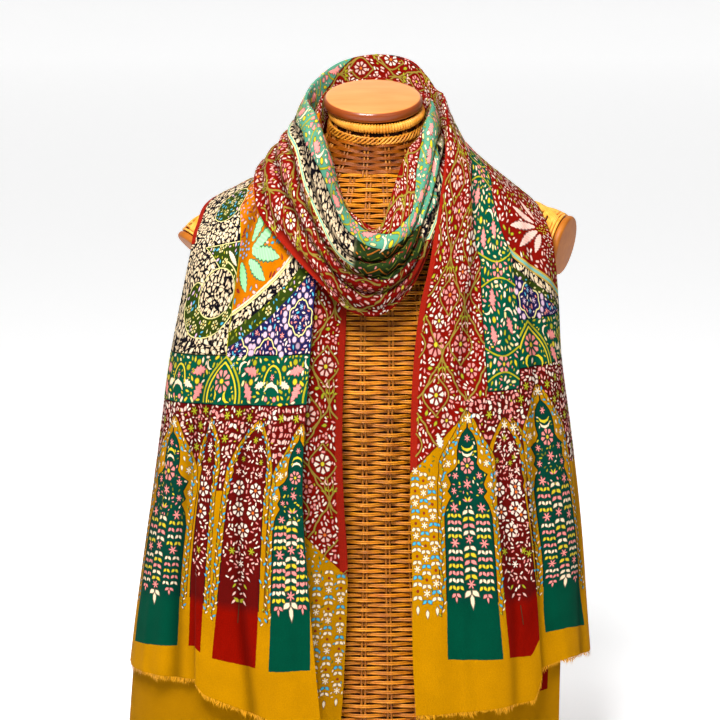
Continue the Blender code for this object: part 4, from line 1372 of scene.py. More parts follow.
class Pattern(Layout):
    """Embroidery of one sheet, kept to the zones of its ground."""

    CELL = 0.0010

    def __init__(self, sheet, seed):
        super().__init__()
        self.zone_function = ZONES[sheet.name]
        self.chance = random.Random(seed)
        self.low = sheet.flat.reshape(-1, 2).min(axis=0)
        self.high = sheet.flat.reshape(-1, 2).max(axis=0)
        size = ((self.high - self.low) / self.CELL).astype(int) + 3
        self.taken = np.zeros(size, dtype=bool)
        x, y = np.meshgrid(*(self.low[axis] + np.arange(size[axis]) * self.CELL for axis in (0, 1)), indexing="ij")
        self.map = zone_names(self.zone_function, x.ravel(), y.ravel()).reshape(x.shape)

    def cells(self, x, y, radius):
        i0, i1 = (int((x - self.low[0] + side * radius) / self.CELL) for side in (-1, 1))
        j0, j1 = (int((y - self.low[1] + side * radius) / self.CELL) for side in (-1, 1))
        return slice(max(i0, 0), max(i1 + 1, 0)), slice(max(j0, 0), max(j1 + 1, 0))

    def inside(self, x, y, margin=0.0):
        return (self.low[0] + margin <= x <= self.high[0] - margin
                and self.low[1] + margin <= y <= self.high[1] - margin)

    def free(self, x, y, radius):
        return not self.taken[self.cells(x, y, radius)].any()

    def zone(self, x, y):
        return self.zones_at(np.array([x]), np.array([y]))[0]

    def zones_at(self, x, y):
        """Names of the zones at flat places, off the map too."""
        i = np.rint((x - self.low[0]) / self.CELL).astype(int)
        j = np.rint((y - self.low[1]) / self.CELL).astype(int)
        return self.map[np.clip(i, 0, self.map.shape[0] - 1), np.clip(j, 0, self.map.shape[1] - 1)]

    def height(self, x, y):
        """Height above the hem of an end."""
        return float(slanted(np.float64(SHAWL_LENGTH - x if self.zone_function is right_zones else x), y))

    def spots(self, name, x, y, turn, length, width):
        """Places along a motif, from one end to the other, and the half width to keep free round them."""
        if name in ("leaf", "petal", "feather"):
            shares = (0.12, 0.38, 0.62, 0.88)
        elif name in ("dash", "vine"):
            shares = (-0.34, 0.0, 0.34)
        else:
            return [(x, y)], max(length, width) * (0.29 if name in ("palm", "crescent") else 0.42)
        ahead = (math.cos(math.radians(turn)) * length, math.sin(math.radians(turn)) * length)
        return [(x + share * ahead[0], y + share * ahead[1]) for share in shares], width * 0.42

    def add(self, name, x, y, turn, length, width, colour, level=0, take=True):
        """Put a motif with its turn in degrees; nothing is put off the sheet."""
        if not self.inside(x, y):
            return
        self.put(MOTIF_NAMES.index(name), x, y, math.radians(turn), length, width, colour, 1.0, level)
        if take:
            places, half = self.spots(name, x, y, turn, length, width)
            for place in places:
                self.taken[self.cells(*place, half)] = True

    def star(self, x, y, size, colour):
        self.add("star", x, y, self.chance.uniform(0, 60), size, size, colour)

    def petals(self, x, y, count, size, colour, eye):
        """Flower of separate petals."""
        start = self.chance.uniform(0, 360)
        for step in range(count):
            turn = start + 360 * step / count
            base = (x + math.cos(math.radians(turn)) * size * 0.13,
                    y + math.sin(math.radians(turn)) * size * 0.13)
            self.add("petal", *base, turn, size * 0.37, size * 2.3 / count, colour, take=False)
        self.add("dot", x, y, 0, size * 0.26, size * 0.26, eye, level=1, take=False)
        self.taken[self.cells(x, y, size * 0.45)] = True

    def line(self, points, width, colour, zones=None, take=True):
        """Vine along points, kept to some zones."""
        points = np.asarray(points, dtype=float)
        middles = (points[1:] + points[:-1]) / 2
        steps = np.diff(points, axis=0)
        kept = np.ones(len(middles), dtype=bool)
        if zones is not None:
            kept = np.isin(self.zones_at(middles[:, 0], middles[:, 1]), zones)
        for (x, y), (across, up), keep in zip(middles, steps, kept):
            if keep and self.inside(x, y, 0.0008):
                length = math.hypot(across, up)
                self.put(MOTIF_NAMES.index("vine"), x, y, math.atan2(up, across), length * 1.12, width, colour)
                if take:
                    self.taken[self.cells(x, y, width * 0.6)] = True

    def scatter(self, zones, step, radius, maker):
        """Call maker(x, y) at free places all over some zones."""
        span_x = np.arange(self.low[0] + step / 2, self.high[0], step)
        span_y = np.arange(self.low[1] + step / 2, self.high[1], step)
        places = np.array([(x, y + (row % 2) * step / 2) for row, x in enumerate(span_x) for y in span_y])
        jitter = np.array([(self.chance.uniform(-0.32, 0.32), self.chance.uniform(-0.32, 0.32))
                           for _place in places])
        places = places + jitter * step
        kept = np.ones(len(places), dtype=bool)
        for across, up in ROUND_IT:
            kept &= np.isin(self.zones_at(places[:, 0] + across * radius, places[:, 1] + up * radius), zones)
        for x, y in places[kept]:
            if self.inside(x, y, radius) and self.free(x, y, radius * 0.9):
                maker(x, y)

    def fill(self, zones, step, colours, length, width, names=("dash",), within=None):
        """Small stitches in the room that is left."""
        def maker(x, y):
            if within is not None and not within(x, y):
                return
            for _try in range(3):
                turn = self.chance.uniform(0, 360)
                name = self.chance.choice(names)
                scale = self.chance.uniform(0.85, 1.15)
                base = (x, y)
                if name in ("leaf", "petal"):
                    base = (x - math.cos(math.radians(turn)) * length * scale / 2,
                            y - math.sin(math.radians(turn)) * length * scale / 2)
                places, half = self.spots(name, *base, turn, length * scale, width * scale)
                if all(self.zone(*place) in zones and self.free(*place, half * 0.8) for place in places):
                    self.add(name, *base, turn, length * scale, width * scale, self.chance.choice(colours))
                    return

        self.scatter(zones, step, width * 0.3, maker)


# ---- embroidery recipes ---------------------------------------------------------------
PALE = ("white", "pale_pink", "pink")


def ogee(centre, half_x, half_y, steps=9):
    """Closed outline with pointed ends along x, swelling in the middle."""
    sides = []
    for side in (1, -1):
        for step in range(steps):
            u = step / steps
            u = u if side > 0 else 1 - u
            x = centre[0] - half_x + 2 * half_x * u
            y = centre[1] + side * half_y * math.sin(math.pi * u) ** 1.35
            sides.append((x, y))
    return sides + [sides[0]]


def embroider_stars(pattern):
    def star(x, y):
        pattern.star(x, y, 0.0118, "spring")

    def hooks(x, y):
        turn = pattern.chance.choice((0, 90, 180, 270)) + pattern.chance.uniform(-20, 20)
        pattern.add("chevron", x, y, turn, 0.0086, 0.0090, pattern.chance.choice(PALE))

    pattern.scatter(["star_red"], 0.0200, 0.0060, star)
    pattern.scatter(["star_red"], 0.0125, 0.0036, hooks)
    pattern.fill(["star_red"], 0.0036, PALE, 0.0064, 0.0025)
    pattern.fill(["star_red"], 0.0028, PALE + ("spring",), 0.0040, 0.0019)


def tendril(start, turn, length, bend, steps=7):
    """Curved shoot from a place, given by its first heading and how far it turns, in degrees."""
    points = [start]
    for step in range(steps):
        heading = math.radians(turn + bend * (step + 0.5) / steps)
        last = points[-1]
        points.append((last[0] + math.cos(heading) * length / steps, last[1] + math.sin(heading) * length / steps))
    return points


def embroider_red_vine(pattern, period=0.112, pitch=0.076, shift=(0.0, 0.0)):
    """Ogee trellis of olive-gold vines with flowers, palmettes, leaves and small stitches."""
    zones = ["red_vine"]
    low, high = pattern.low, pattern.high
    chance = pattern.chance
    first = math.floor((low[1] - shift[1]) / (pitch / 2)) - 2
    last = math.ceil((high[1] - shift[1]) / (pitch / 2)) + 2
    span = np.arange(low[0], high[0], 0.0042)
    phase = 2 * math.pi * (span - shift[0]) / period
    swing = np.cos(phase) + 0.16 * np.cos(3 * phase) + 0.05 * np.sin(9 * phase)
    cells = []
    joints = []
    for lane in range(first, last + 1):
        sign = 1 if lane % 2 == 0 else -1
        middle = lane * pitch / 2 + shift[1]
        pattern.line(np.column_stack((span, middle + sign * pitch / 4.6 * swing)), 0.0027, "vine", zones)
        start = math.floor((low[0] - shift[0]) / period) - 1
        for cell in range(start, math.ceil((high[0] - shift[0]) / period) + 2):
            x = shift[0] + (cell + (0.5 if sign > 0 else 0.0)) * period
            cells.append((x, middle + pitch / 4))
            joints.append((x + period / 2, middle + pitch / 4))
    scale = pitch / 0.076
    for x, y in cells:
        lean = chance.choice((1, -1))
        for along, side, count, size in ((-0.0125, 1, 8, 0.0250), (0.0170, -1, 7, 0.0190)):
            place = (x + along * scale, y + lean * 0.0080 * scale * side)
            if all(pattern.zone(place[0] + a * 0.008, place[1] + b * 0.008) in zones for a, b in ROUND_IT):
                pattern.petals(*place, count, size * scale, chance.choice(("pale_pink", "white", "pink")),
                               chance.choice(("orange", "yellow")))
        pattern.line(ogee((x - 0.012 * scale, y + lean * 0.008 * scale), 0.0235 * scale, 0.0190 * scale), 0.0023,
                     "vine", zones)
    for x, y in joints:
        for turn, reach, bend in ((0, 0.026, 10), (34, 0.030, -52), (-34, 0.030, 52), (180, 0.016, 20)):
            shoot = tendril((x, y), turn, reach * scale, bend)
            pattern.line(shoot, 0.0019, "vine", zones)
            px, py = shoot[-1]
            if pattern.zone(px, py) in zones and pattern.free(px, py, 0.0026):
                heading = math.degrees(math.atan2(shoot[-1][1] - shoot[-2][1], shoot[-1][0] - shoot[-2][0]))
                pattern.add("palm", px, py, heading, 0.0170, 0.0150, chance.choice(("pale_pink", "white")))
            for share in (3, 5):
                for side in (1, -1):
                    lx, ly = shoot[share]
                    if pattern.zone(lx, ly) in zones and turn != 180:
                        pattern.add("leaf", lx, ly, turn + side * 48, 0.0066, 0.0028,
                                    "spring" if share == 3 else "pale_pink", level=1)

    def berries(x, y):
        for turn in (90, 210, 330):
            pattern.add("dot", x + 0.0026 * math.cos(math.radians(turn)),
                        y + 0.0026 * math.sin(math.radians(turn)), 0, 0.0045, 0.0045, "pink")

    def leaf(x, y):
        pattern.add("leaf", x, y, chance.uniform(0, 360), 0.0092, 0.0052, "spring")

    pattern.scatter(zones, 0.021, 0.0050, berries)
    pattern.scatter(zones, 0.016, 0.0040, leaf)
    pattern.fill(zones, 0.0034, PALE + ("white",), 0.0070, 0.0027, ("dash", "dash", "leaf"))
    pattern.fill(zones, 0.0028, PALE + ("spring",), 0.0042, 0.0020)


def embroider_band(pattern, zone, x_foot, x_top, first, fall, middle, period=0.164):
    """Border across the cloth: pointed arches and hoops with flowers, palmettes and crescents."""
    up = 1 if x_top > x_foot else -1
    reach = abs(x_top - x_foot)
    tilt = 90 - 90 * up

    def at(u, y):
        return x_foot + up * u * reach - (y - middle) * fall

    def put(name, u, y, turn, length, width, colour):
        if pattern.inside(at(u, y), y, 0.002) and pattern.zone(at(u, y), y) == zone \
                and pattern.free(at(u, y), y, 0.0018):
            pattern.add(name, at(u, y), y, tilt + turn * up, length, width, colour)

    y = first
    while y > pattern.low[1] - period:
        y -= period
    while y < pattern.high[1] + period:
        for width, reach_out, colour in ((0.0034, 0.0330, "spring"), (0.0030, 0.0270, "yellow")):
            arch = []
            for side, shares in ((1, np.linspace(0, 1, 10)), (-1, np.linspace(1, 0, 10)[1:])):
                for u in shares:
                    place = y + side * reach_out * (1 - u ** 2.3)
                    arch.append((at(0.03 + u * (0.30 + 20 * reach_out), place), place))
            pattern.line(arch, width, colour, [zone])
        if pattern.inside(at(0.5, y), y, 0.008):
            pattern.petals(at(0.48, y), y, 9, 0.0290, "pink", "yellow")
        put("star", 0.80, y, 0, 0.0070, 0.0070, "cream")
        for side in (1, -1):
            put("crescent", 0.15, y + side * 0.0110, 90 + side * 60, 0.0170, 0.0180, "yellow")
            put("palm", 0.68, y + side * 0.0470, side * 12 + 90, 0.0240, 0.0175, "pink")
            put("palm", 0.25, y + side * 0.0450, side * 60 + 90, 0.0240, 0.0175, "pink")
            put("dot", 0.86, y + side * 0.0500, 0, 0.0090, 0.0090, "spring")
            put("dot", 0.46, y + side * 0.0480, 0, 0.0090, 0.0090, "yellow")
            put("dot", 0.74, y + side * 0.0670, 0, 0.0090, 0.0090, "spring")
            put("palm", 0.40, y + side * 0.0640, side * 160 + 90, 0.0180, 0.0130, "cream")
            put("crescent", 0.66, y + side * 0.0540, -90, 0.0160, 0.0160, "cream")
            put("crescent", 0.80, y + side * 0.0300, side * 40, 0.0150, 0.0150, "cream")
        centre = y + period / 2
        hoop = [(at(0.42 + 0.38 * math.sin(a), centre + 0.0150 * math.cos(a)), centre + 0.0150 * math.cos(a))
                for a in np.linspace(0, math.pi, 11)]
        pattern.line(hoop, 0.0029, "yellow", [zone])
        put("star", 0.56, centre, 0, 0.0095, 0.0095, "pink")
        put("crescent", 0.33, centre, -90, 0.0270, 0.0260, "cream")
        for side in (1, -1):
            put("dot", 0.12, centre + side * 0.0080, 0, 0.0070, 0.0070, "pink")
        y += period
    pattern.fill([zone], 0.0048, ("cream", "pale_yellow", "spring", "yellow"), 0.0092, 0.0040,
                 ("dash", "leaf", "leaf"))
    pattern.fill([zone], 0.0036, ("yellow", "spring", "spring"), 0.0050, 0.0024, ("dash", "leaf"))


def embroider_strip(pattern, zone, x_low, x_high, edges, period=0.098, start=0.03):
    """Border along the cloth: arcs from edge to edge, flowers, palmettes, discs and crescents."""
    def across(x, share):
        inner, outer = edges(x)
        return float(inner + outer) / 2 + share * float(outer - inner) / 2

    x = x_low - period + start
    while x < x_high + period:
        for side in (1, -1):
            arc = []
            for share in np.linspace(-1, 1, 10):
                along = x + side * (0.019 - 0.010 * math.cos(share * math.pi / 2))
                arc.append((along, across(along, share)))
            pattern.line(arc, 0.0026, "spring", [zone])
        if pattern.zone(x, across(x, 0.0)) == zone:
            room = across(x, 1.0) - across(x, -1.0)
            pattern.petals(x, across(x, 0.0), 6, min(0.0225, room * 0.75), "pink", "yellow")
            for side in (1, -1):
                pattern.add("leaf", x - 0.005, across(x, side * 0.72), 15 * side, 0.011, 0.0052, "yellow")
        for shift, side, name, size, colour, turn in (
                (0.030, -0.42, "palm", 0.0210, "pink", 180), (0.031, 0.55, "dot", 0.0090, "yellow", 0),
                (0.044, 0.42, "crescent", 0.0190, "cream", 70), (0.052, -0.40, "dot", 0.0090, "yellow", 0),
                (0.058, 0.45, "palm", 0.0200, "pink", 20), (0.068, -0.46, "palm", 0.0200, "pink", 190),
                (0.071, 0.40, "dot", 0.0075, "spring", 0), (0.043, -0.70, "crescent", 0.0150, "cream", -60)):
            px = x + shift * period / 0.098
            py = across(px, side)
            if pattern.zone(px, py) == zone and pattern.free(px, py, size * 0.22):
                pattern.add(name, px, py, turn, size, size * 0.86, colour)
        x += period
    pattern.fill([zone], 0.0042, ("cream", "cream", "pale_yellow", "spring", "pink"), 0.0088, 0.0038,
                 ("dash", "leaf", "leaf"))
    pattern.fill([zone], 0.0034, ("cream", "spring", "pink", "yellow"), 0.0050, 0.0024, ("dash", "leaf"))


def hem_place(v, y, mirrored_end):
    """Along place of a height above the hem."""
    x = v
    for _step in range(6):
        x = v - y * HEM_SLANT * (1 - min(max(x / HEM_SLANT_TOP, 0), 1))
    return SHAWL_LENGTH - x if mirrored_end else x


class Panel:
    """One arched panel of an end: places on it, and turns that are given from up it."""

    def __init__(self, pattern, row, right_end):
        self.pattern, self.row, self.right_end = pattern, row, right_end
        self.half, self.height, self.kind = row[2:]
        self.scale = self.half / PANEL_HALF

    def place(self, v, across):
        y = panel_centre(self.row, v) + across
        return hem_place(v, y, self.right_end), y

    def at(self, drop, side=0.0):
        """Place at a distance below the panel's top and, in a panel of the usual width, to a side."""
        return self.place(self.height - drop, side * self.scale)

    def on(self, zone, where):
        return self.pattern.inside(*where, 0.002) and self.pattern.zone(*where) == zone

    def heading(self, degrees):
        return 180 - degrees if self.right_end else degrees


def embroider_arches(pattern, rows, right_end):
    for row in sorted(rows, key=lambda row: row[4]):
        panel = Panel(pattern, row, right_end)
        for side in (1, -1):
            arch_garland(panel, side)
        y = panel_centre(row, panel.height)
        if pattern.inside(hem_place(panel.height - 0.009, y, right_end), y, 0.003):
            pattern.star(hem_place(panel.height - 0.0095, y, right_end), y, 0.0125, "cream")
        if panel.kind == "green":
            green_panel(panel)
        else:
            red_panel(panel)


def arch_garland(panel, side):
    """Leaves by turns on both sides of a dark waving stem, up one side of an arch."""
    pattern = panel.pattern
    column = 1 if panel.kind == "green" else 3
    drops = np.concatenate((np.arange(0.004, 0.05, 0.004), np.arange(0.05, panel.height - 0.105, 0.0052)))
    outside, inside = (arch_half_width(drops, column + step) for step in (0, 1))
    middle = np.where(drops < 0.100, outside - 0.0048, (outside + inside) / 2 + 0.0008) * panel.scale
    path = np.array([panel.place(panel.height - drop, side * max(reach, 0.0)) for drop, reach in zip(drops, middle)])
    reach = reach_of(np.linalg.norm(np.diff(path, axis=0), axis=1))
    fine = np.arange(0, reach[-1], 0.0040)
    line = np.column_stack([np.interp(fine, reach, path[:, axis]) for axis in (0, 1)])
    along = np.gradient(line, axis=0)
    along /= np.linalg.norm(along, axis=1, keepdims=True)
    across = np.column_stack((-along[:, 1], along[:, 0]))
    wave = line + across * (0.0013 * np.sin(fine / 0.0120 * math.pi))[:, None]
    steps = [step for step in range(2, len(fine)) if pattern.zone(*wave[step]) == "arch"
             and pattern.free(*wave[step], 0.0030)]
    for first, last in zip(steps, steps[1:]):
        if last == first + 1:
            pattern.line(wave[[first, last]], 0.0009, "bark", take=False)
    for step in steps:
        turn = math.degrees(math.atan2(along[step, 1], along[step, 0])) + 180
        lean = 44 if step % 2 else -44
        colour = ("sky", "cream", "sky", "cream", "spring")[step % 5]
        size = (0.0064, 0.0030) if colour == "sky" else (0.0060, 0.0024)
        pattern.add("leaf", *wave[step], turn + lean, *size, colour)


def green_panel(panel):
    """Stars, crescents and a flower under the arch, and columns of chevrons below them."""
    pattern, scale, at = panel.pattern, panel.scale, panel.at
    for side in (1, -1):
        for drop, reach, size in ((0.0600, 0.0235, 0.0105), (0.0840, 0.0275, 0.0090)):
            if panel.on("arch", at(drop, side * reach)):
                pattern.star(*at(drop, side * reach), size, "cream")
        for drop, reach, turn, colour in ((0.0340, 0.0125, 150, "sky"), (0.0440, 0.0165, 160, "cream"),
                                          (0.0500, 0.0225, 40, "sky"), (0.0700, 0.0290, 170, "sky"),
                                          (0.0540, 0.0150, 170, "cream")):
            if panel.on("arch", at(drop, side * reach)):
                pattern.add("leaf", *at(drop, side * reach), panel.heading(side * turn), 0.0080, 0.0036, colour)

    def kept(where):
        return panel.on("green_panel", where)

    for drop, side, name, size, colour in (
            (0.0320, 0.0, "star", 0.0090, "pink"), (0.0420, 0.0, "crescent", 0.0160, "yellow"),
            (0.0485, 0.0, "crescent", 0.0150, "cream"), (0.0735, 0.0145, "star", 0.0090, "pink"),
            (0.0735, -0.0145, "star", 0.0090, "pink"), (0.0830, 0.0, "star", 0.0125, "pink"),
            (0.0905, 0.0160, "star", 0.0085, "pink"), (0.0905, -0.0160, "star", 0.0085, "pink"),
            (0.1090, 0.0160, "star", 0.0120, "pink"), (0.1090, -0.0160, "star", 0.0120, "pink")):
        if kept(at(drop, side)):
            turn = panel.heading(-90) if name == "crescent" else pattern.chance.uniform(0, 60)
            pattern.add(name, *at(drop, side), turn, size * min(scale, 1.1), size * 0.9 * min(scale, 1.1), colour)
    if kept(at(0.0625)):
        pattern.petals(*at(0.0625), 8, 0.0185 * scale, "pink", "yellow")
    for turn, colour in ((-62, "pink"), (-30, "yellow"), (30, "yellow"), (62, "pink")):
        if kept(at(0.1010)):
            pattern.add("leaf", *at(0.1030), panel.heading(turn), 0.0085, 0.0030, colour)

    def under_arch(x, y):
        v = pattern.height(x, y)
        return (panel.height - 0.114 < v < panel.height - 0.026
                and abs(y - panel_centre(panel.row, v)) < panel.half * 1.1)

    pattern.fill(["green_panel"], 0.0052, ("yellow", "cream", "pink", "spring", "olive"), 0.0050, 0.0022,
                 ("leaf", "dash"), under_arch)
    chevron_columns(panel)


# colours down the middle column and the side ones, the step between chevrons, and what ends a column:
# name, how far up, length, width and colour
COLUMN_ORDER = (("cream", "yellow", "pink", "cream", "yellow"),
                ("yellow", "pink", "cream", "yellow", "star", "cream", "pink"))
COLUMN_STEP = 0.0076
COLUMN_FEET = ((("chevron", 0.0, 0.0110, 0.0135, "cream"), ("leaf", 0.001, 0.0190, 0.0062, "cream")),
               (("chevron", 0.0, 0.0070, 0.0080, "pink"), ("leaf", 0.0, 0.0085, 0.0030, "pink")))


def chevron_columns(panel):
    """Three columns of chevrons with stars, down to the plain block."""
    pattern, at = panel.pattern, panel.at
    for column, side, drop in ((0, 0.0, 0.1140), (1, 0.0165, 0.1180), (1, -0.0165, 0.1180)):
        count = 0
        while drop < panel.height - PLAIN_TOP - 0.012:
            where = at(drop, side)
            colour = COLUMN_ORDER[column][count % len(COLUMN_ORDER[column])]
            if column == 0 and count % 6 == 4:
                colour = "star"
            if panel.on("green_panel", where):
                if colour == "star":
                    pattern.star(*where, 0.0118 if column == 0 else 0.0125, "pink")
                elif column == 0:
                    pattern.add("chevron", *where, panel.heading(180), 0.0085, 0.0118, colour)
                else:
                    for shift in (0.0040, -0.0040):
                        pattern.add("chevron", *at(drop, side + shift), panel.heading(180), 0.0074, 0.0066, colour)
            drop += COLUMN_STEP * (1.25 if colour == "star" else 1.0)
            count += 1
        if panel.on("green_panel", at(drop, side)):
            for name, up, length, width, colour in COLUMN_FEET[column]:
                pattern.add(name, *at(drop - up, side), panel.heading(180), length, width, colour)


def red_panel(panel):
    """Stars and flowers among dashes, and a hanging sprig at the foot."""
    pattern, at = panel.pattern, panel.at

    def kept(where):
        return panel.on("red_panel", where)

    for drop, side, size, colour in (
            (0.0240, 0.0, 0.0095, "spring"), (0.0330, 0.0100, 0.0095, "white"), (0.0330, -0.0110, 0.0095, "white"),
            (0.0460, 0.0140, 0.0080, "spring"), (0.0480, -0.0150, 0.0080, "spring"),
            (0.0600, 0.0180, 0.0090, "pale_pink"), (0.0620, -0.0170, 0.0090, "pale_pink"),
            (0.1480, 0.0140, 0.0100, "spring"), (0.1480, -0.0140, 0.0100, "spring"), (0.1620, 0.0, 0.0090, "white")):
        if kept(at(drop, side)):
            pattern.star(*at(drop, side), size, colour)
    for drop, side in ((0.0780, 0.0130), (0.0800, -0.0130), (0.1020, 0.0100), (0.1050, -0.0125), (0.1250, 0.0)):
        if kept(at(drop, side)):
            pattern.petals(*at(drop, side), 7, 0.0185, "white", "orange")
    for step in range(5):
        drop = 0.166 + 0.0085 * step
        for side in (1, -1):
            reach = side * (0.0050 if step > 2 else 0.0125 - 0.0035 * step)
            if kept(at(drop, reach)):
                pattern.add("leaf", *at(drop, reach), panel.heading(180 - side * 40), 0.0080, 0.0030,
                            "spring" if step == 2 else "pale_pink")
    for step, colour in enumerate(("spring", "white", "pale_pink")):
        if kept(at(0.205 + 0.007 * step)):
            pattern.add("chevron", *at(0.201 + 0.0065 * step), panel.heading(0), 0.0080, 0.0100, colour)
    stem = [at(0.205 + 0.004 * step) for step in range(6)]
    pattern.line(stem, 0.0010, "bark", ["red_panel", "red_block"], take=False)

    def in_upper(x, y):
        v = pattern.height(x, y)
        drop = panel.height - v
        spread = 0.030 - max(drop - 0.150, 0.0) * 0.45
        if abs(y - panel_centre(panel.row, v)) < spread * panel.scale and drop < 0.20:
            pattern.add("dash", x, y, pattern.chance.uniform(0, 180), 0.0056, 0.0021, pattern.chance.choice(PALE))

    pattern.scatter(["red_panel"], 0.0044, 0.0014, in_upper)


def embroider_garlands(pattern, columns, low, high, sign):
    """Hanging rows of cream flowers, blue leaf pairs and dashes on mustard."""
    turn = 180 if sign > 0 else 0

    def at(height, across):
        return (SHAWL_LENGTH - height if sign < 0 else height), across

    for place, across in enumerate(columns):
        height = high - 0.004 * place
        count = place * 2
        while height > low:
            where = at(height, across)
            kind = count % 5
            if pattern.zone(*where) == "mustard" and pattern.inside(*where, 0.003):
                if kind == 0:
                    pattern.star(*where, 0.0100, "cream")
                elif kind == 3:
                    pattern.add("dot", *where, 0, 0.0034, 0.0034, "coral")
                else:
                    pattern.add("chevron", *where, turn, 0.0070, 0.0082, ("sky", "cream", "sky", "cream")[kind - 1])
            height -= 0.0070 if kind else 0.0088
            count += 1
        pattern.add("leaf", *at(height, across), turn, 0.0110, 0.0046, "cream")
    pattern.fill(["mustard"], 0.0060, ("cream", "sky", "olive"), 0.0050, 0.0022, ("leaf",),
                 lambda x, y: y < columns[-1] + 0.004 and low < (SHAWL_LENGTH - x if sign < 0 else x) < high + 0.03)


def embroider_roses(pattern, zones, step=0.0150, size=0.0145):
    chance = pattern.chance

    def rose(x, y):
        around = chance.uniform(0.9, 1.15) * size
        pattern.petals(x, y, 5, around, chance.choice(("ivory", "cream")), "cream")

    pattern.scatter(zones, step, size * 0.42, rose)
    pattern.fill(zones, 0.0062, ("cream", "ivory"), 0.0140, 0.0070, ("leaf", "petal"))
    pattern.fill(zones, 0.0044, ("cream", "ivory"), 0.0088, 0.0048, ("leaf", "petal"))
    pattern.fill(zones, 0.0031, ("cream", "ivory"), 0.0056, 0.0028, ("dash", "leaf"))


def embroider_sun(pattern, zones, centre, leaves, colour, fills):
    """Large feathered leaves, each given by its foot, turn, length and width, round a dotted disc."""
    for along, across, turn, length, width in leaves:
        base = (centre[0] + along, centre[1] + across)
        if pattern.zone(*base) in zones:
            pattern.add("feather", *base, turn, length, width, colour)
    for ring, dots in ((0.0046, 4), (0.0100, 8)):
        for dot in range(dots):
            turn = 2 * math.pi * dot / dots
            where = (centre[0] + ring * math.cos(turn), centre[1] + ring * math.sin(turn))
            if pattern.inside(*where) and pattern.zone(*where) in zones:
                pattern.add("dot", *where, 0, 0.0040, 0.0040, "sky_pale" if colour == "mint" else "yellow")
    pattern.fill(zones, 0.0056, fills, 0.0092, 0.0038, ("dash", "leaf", "leaf"))


def embroider_diamonds(pattern, centres):
    """Pinched diamonds in dotted rings, with small stars between them, on indigo."""
    zone = "indigo"
    for centre in centres:
        outline = []
        for x, y in ogee(centre, 0.0265, 0.0235, 16):
            pinch = 1 - 0.16 * math.cos(4 * math.atan2(y - centre[1], x - centre[0])) ** 2
            outline.append((centre[0] + (x - centre[0]) * pinch, centre[1] + (y - centre[1]) * pinch))
        pattern.line(outline, 0.0022, "pale_yellow", [zone])
        for x, y in ogee(centre, 0.0325, 0.0290, 9):
            if pattern.inside(x, y, 0.001) and pattern.zone(x, y) == zone:
                pattern.add("dot", x, y, 0, 0.0092, 0.0092, "lilac")
        if pattern.zone(*centre) == zone:
            for turn, reach, colour in ((0, 0.0120, "sky_pale"), (90, 0.0105, "lilac"), (-90, 0.0105, "lilac"),
                                        (180, 0.0120, "sky_pale")):
                pattern.star(centre[0] + reach * math.cos(math.radians(turn)),
                             centre[1] + reach * math.sin(math.radians(turn)), 0.0082, colour)
            pattern.add("dot", *centre, 0, 0.0036, 0.0036, "sky")

    def small(x, y):
        pattern.star(x, y, 0.0085, pattern.chance.choice(("lilac", "lilac", "pink")))

    pattern.scatter([zone], 0.0150, 0.0044, small)
    pattern.fill([zone], 0.0038, ("lilac", "white", "sky", "white", "pink"), 0.0074, 0.0029, ("dash", "leaf"))
    pattern.fill([zone], 0.0030, ("lilac", "white", "pink"), 0.0042, 0.0022)


def embroider_leaf_ground(pattern, zones):
    def flower(x, y):
        pattern.petals(x, y, 6, 0.0125, "pale_yellow", "gold")

    def leaf(x, y):
        pattern.add("leaf", x, y, pattern.chance.uniform(0, 360), 0.0090, 0.0045,
                    pattern.chance.choice(("sky", "sky", "olive", "lilac")))

    pattern.scatter(zones, 0.0200, 0.0052, flower)
    pattern.scatter(zones, 0.0095, 0.0036, leaf)
    pattern.fill(zones, 0.0052, ("spring", "lilac", "pale_yellow", "sky"), 0.0062, 0.0026, ("leaf", "dash"))


def embroider_zigzag(pattern):
    low, high, step = 1.09, 1.21, 0.012
    for row, colour in enumerate(("amber", "olive", "coral", "olive", "amber", "olive")):
        points = []
        for index in range(int((high - low) / step) * 3):
            x = low + index * step / 3
            tooth = abs(((x - low) / (2 * step)) % 1.0 - 0.5) * 2
            outer = float(bent_line(x, ROLL_OUTER, BAND_SCALE))
            points.append((x, outer + 0.006 + row * 0.0082 + 0.010 * tooth - 0.005))
        pattern.line(points, 0.0018, colour, ["zigzag"])
    pattern.fill(["zigzag"], 0.0052, ("spring", "amber", "olive", "pink"), 0.0046, 0.0022)


LEFT_DIAMONDS = ((0.449, 0.022), (0.403, 0.076), (0.403, -0.030), (0.503, -0.028), (0.403, 0.130))
RIGHT_DIAMONDS = ((1.972, 0.205),)
# places across of the hanging rows of flowers
LEFT_GARLANDS = (0.008, 0.023, 0.038, 0.053)
RIGHT_GARLANDS = (0.0065, 0.0175, 0.0285)
NECK_VINE = {"period": 0.085, "pitch": 0.058, "shift": (1.155, 0.105)}


def left_front_embroidery(pattern):
    embroider_arches(pattern, LEFT_PANELS, False)
    embroider_stars(pattern)
    embroider_band(pattern, "teal", TEAL_LOW, TEAL_HIGH, 0.143, TEAL_FALL, 0.15, 0.170)
    embroider_diamonds(pattern, LEFT_DIAMONDS)
    embroider_sun(pattern, ["amber"], LEFT_SUN, LEFT_LEAVES, "mint", ("coral", "pale_pink", "sky", "pink"))
    pattern.add("feather", 0.524, 0.193, 232, 0.030, 0.009, "cream")
    embroider_leaf_ground(pattern, ["leaf_ring", "paisley"])
    embroider_roses(pattern, ["rose_ring"], 0.0155, 0.0175)
    embroider_roses(pattern, ["night"], 0.0215, 0.0215)
    embroider_red_vine(pattern)


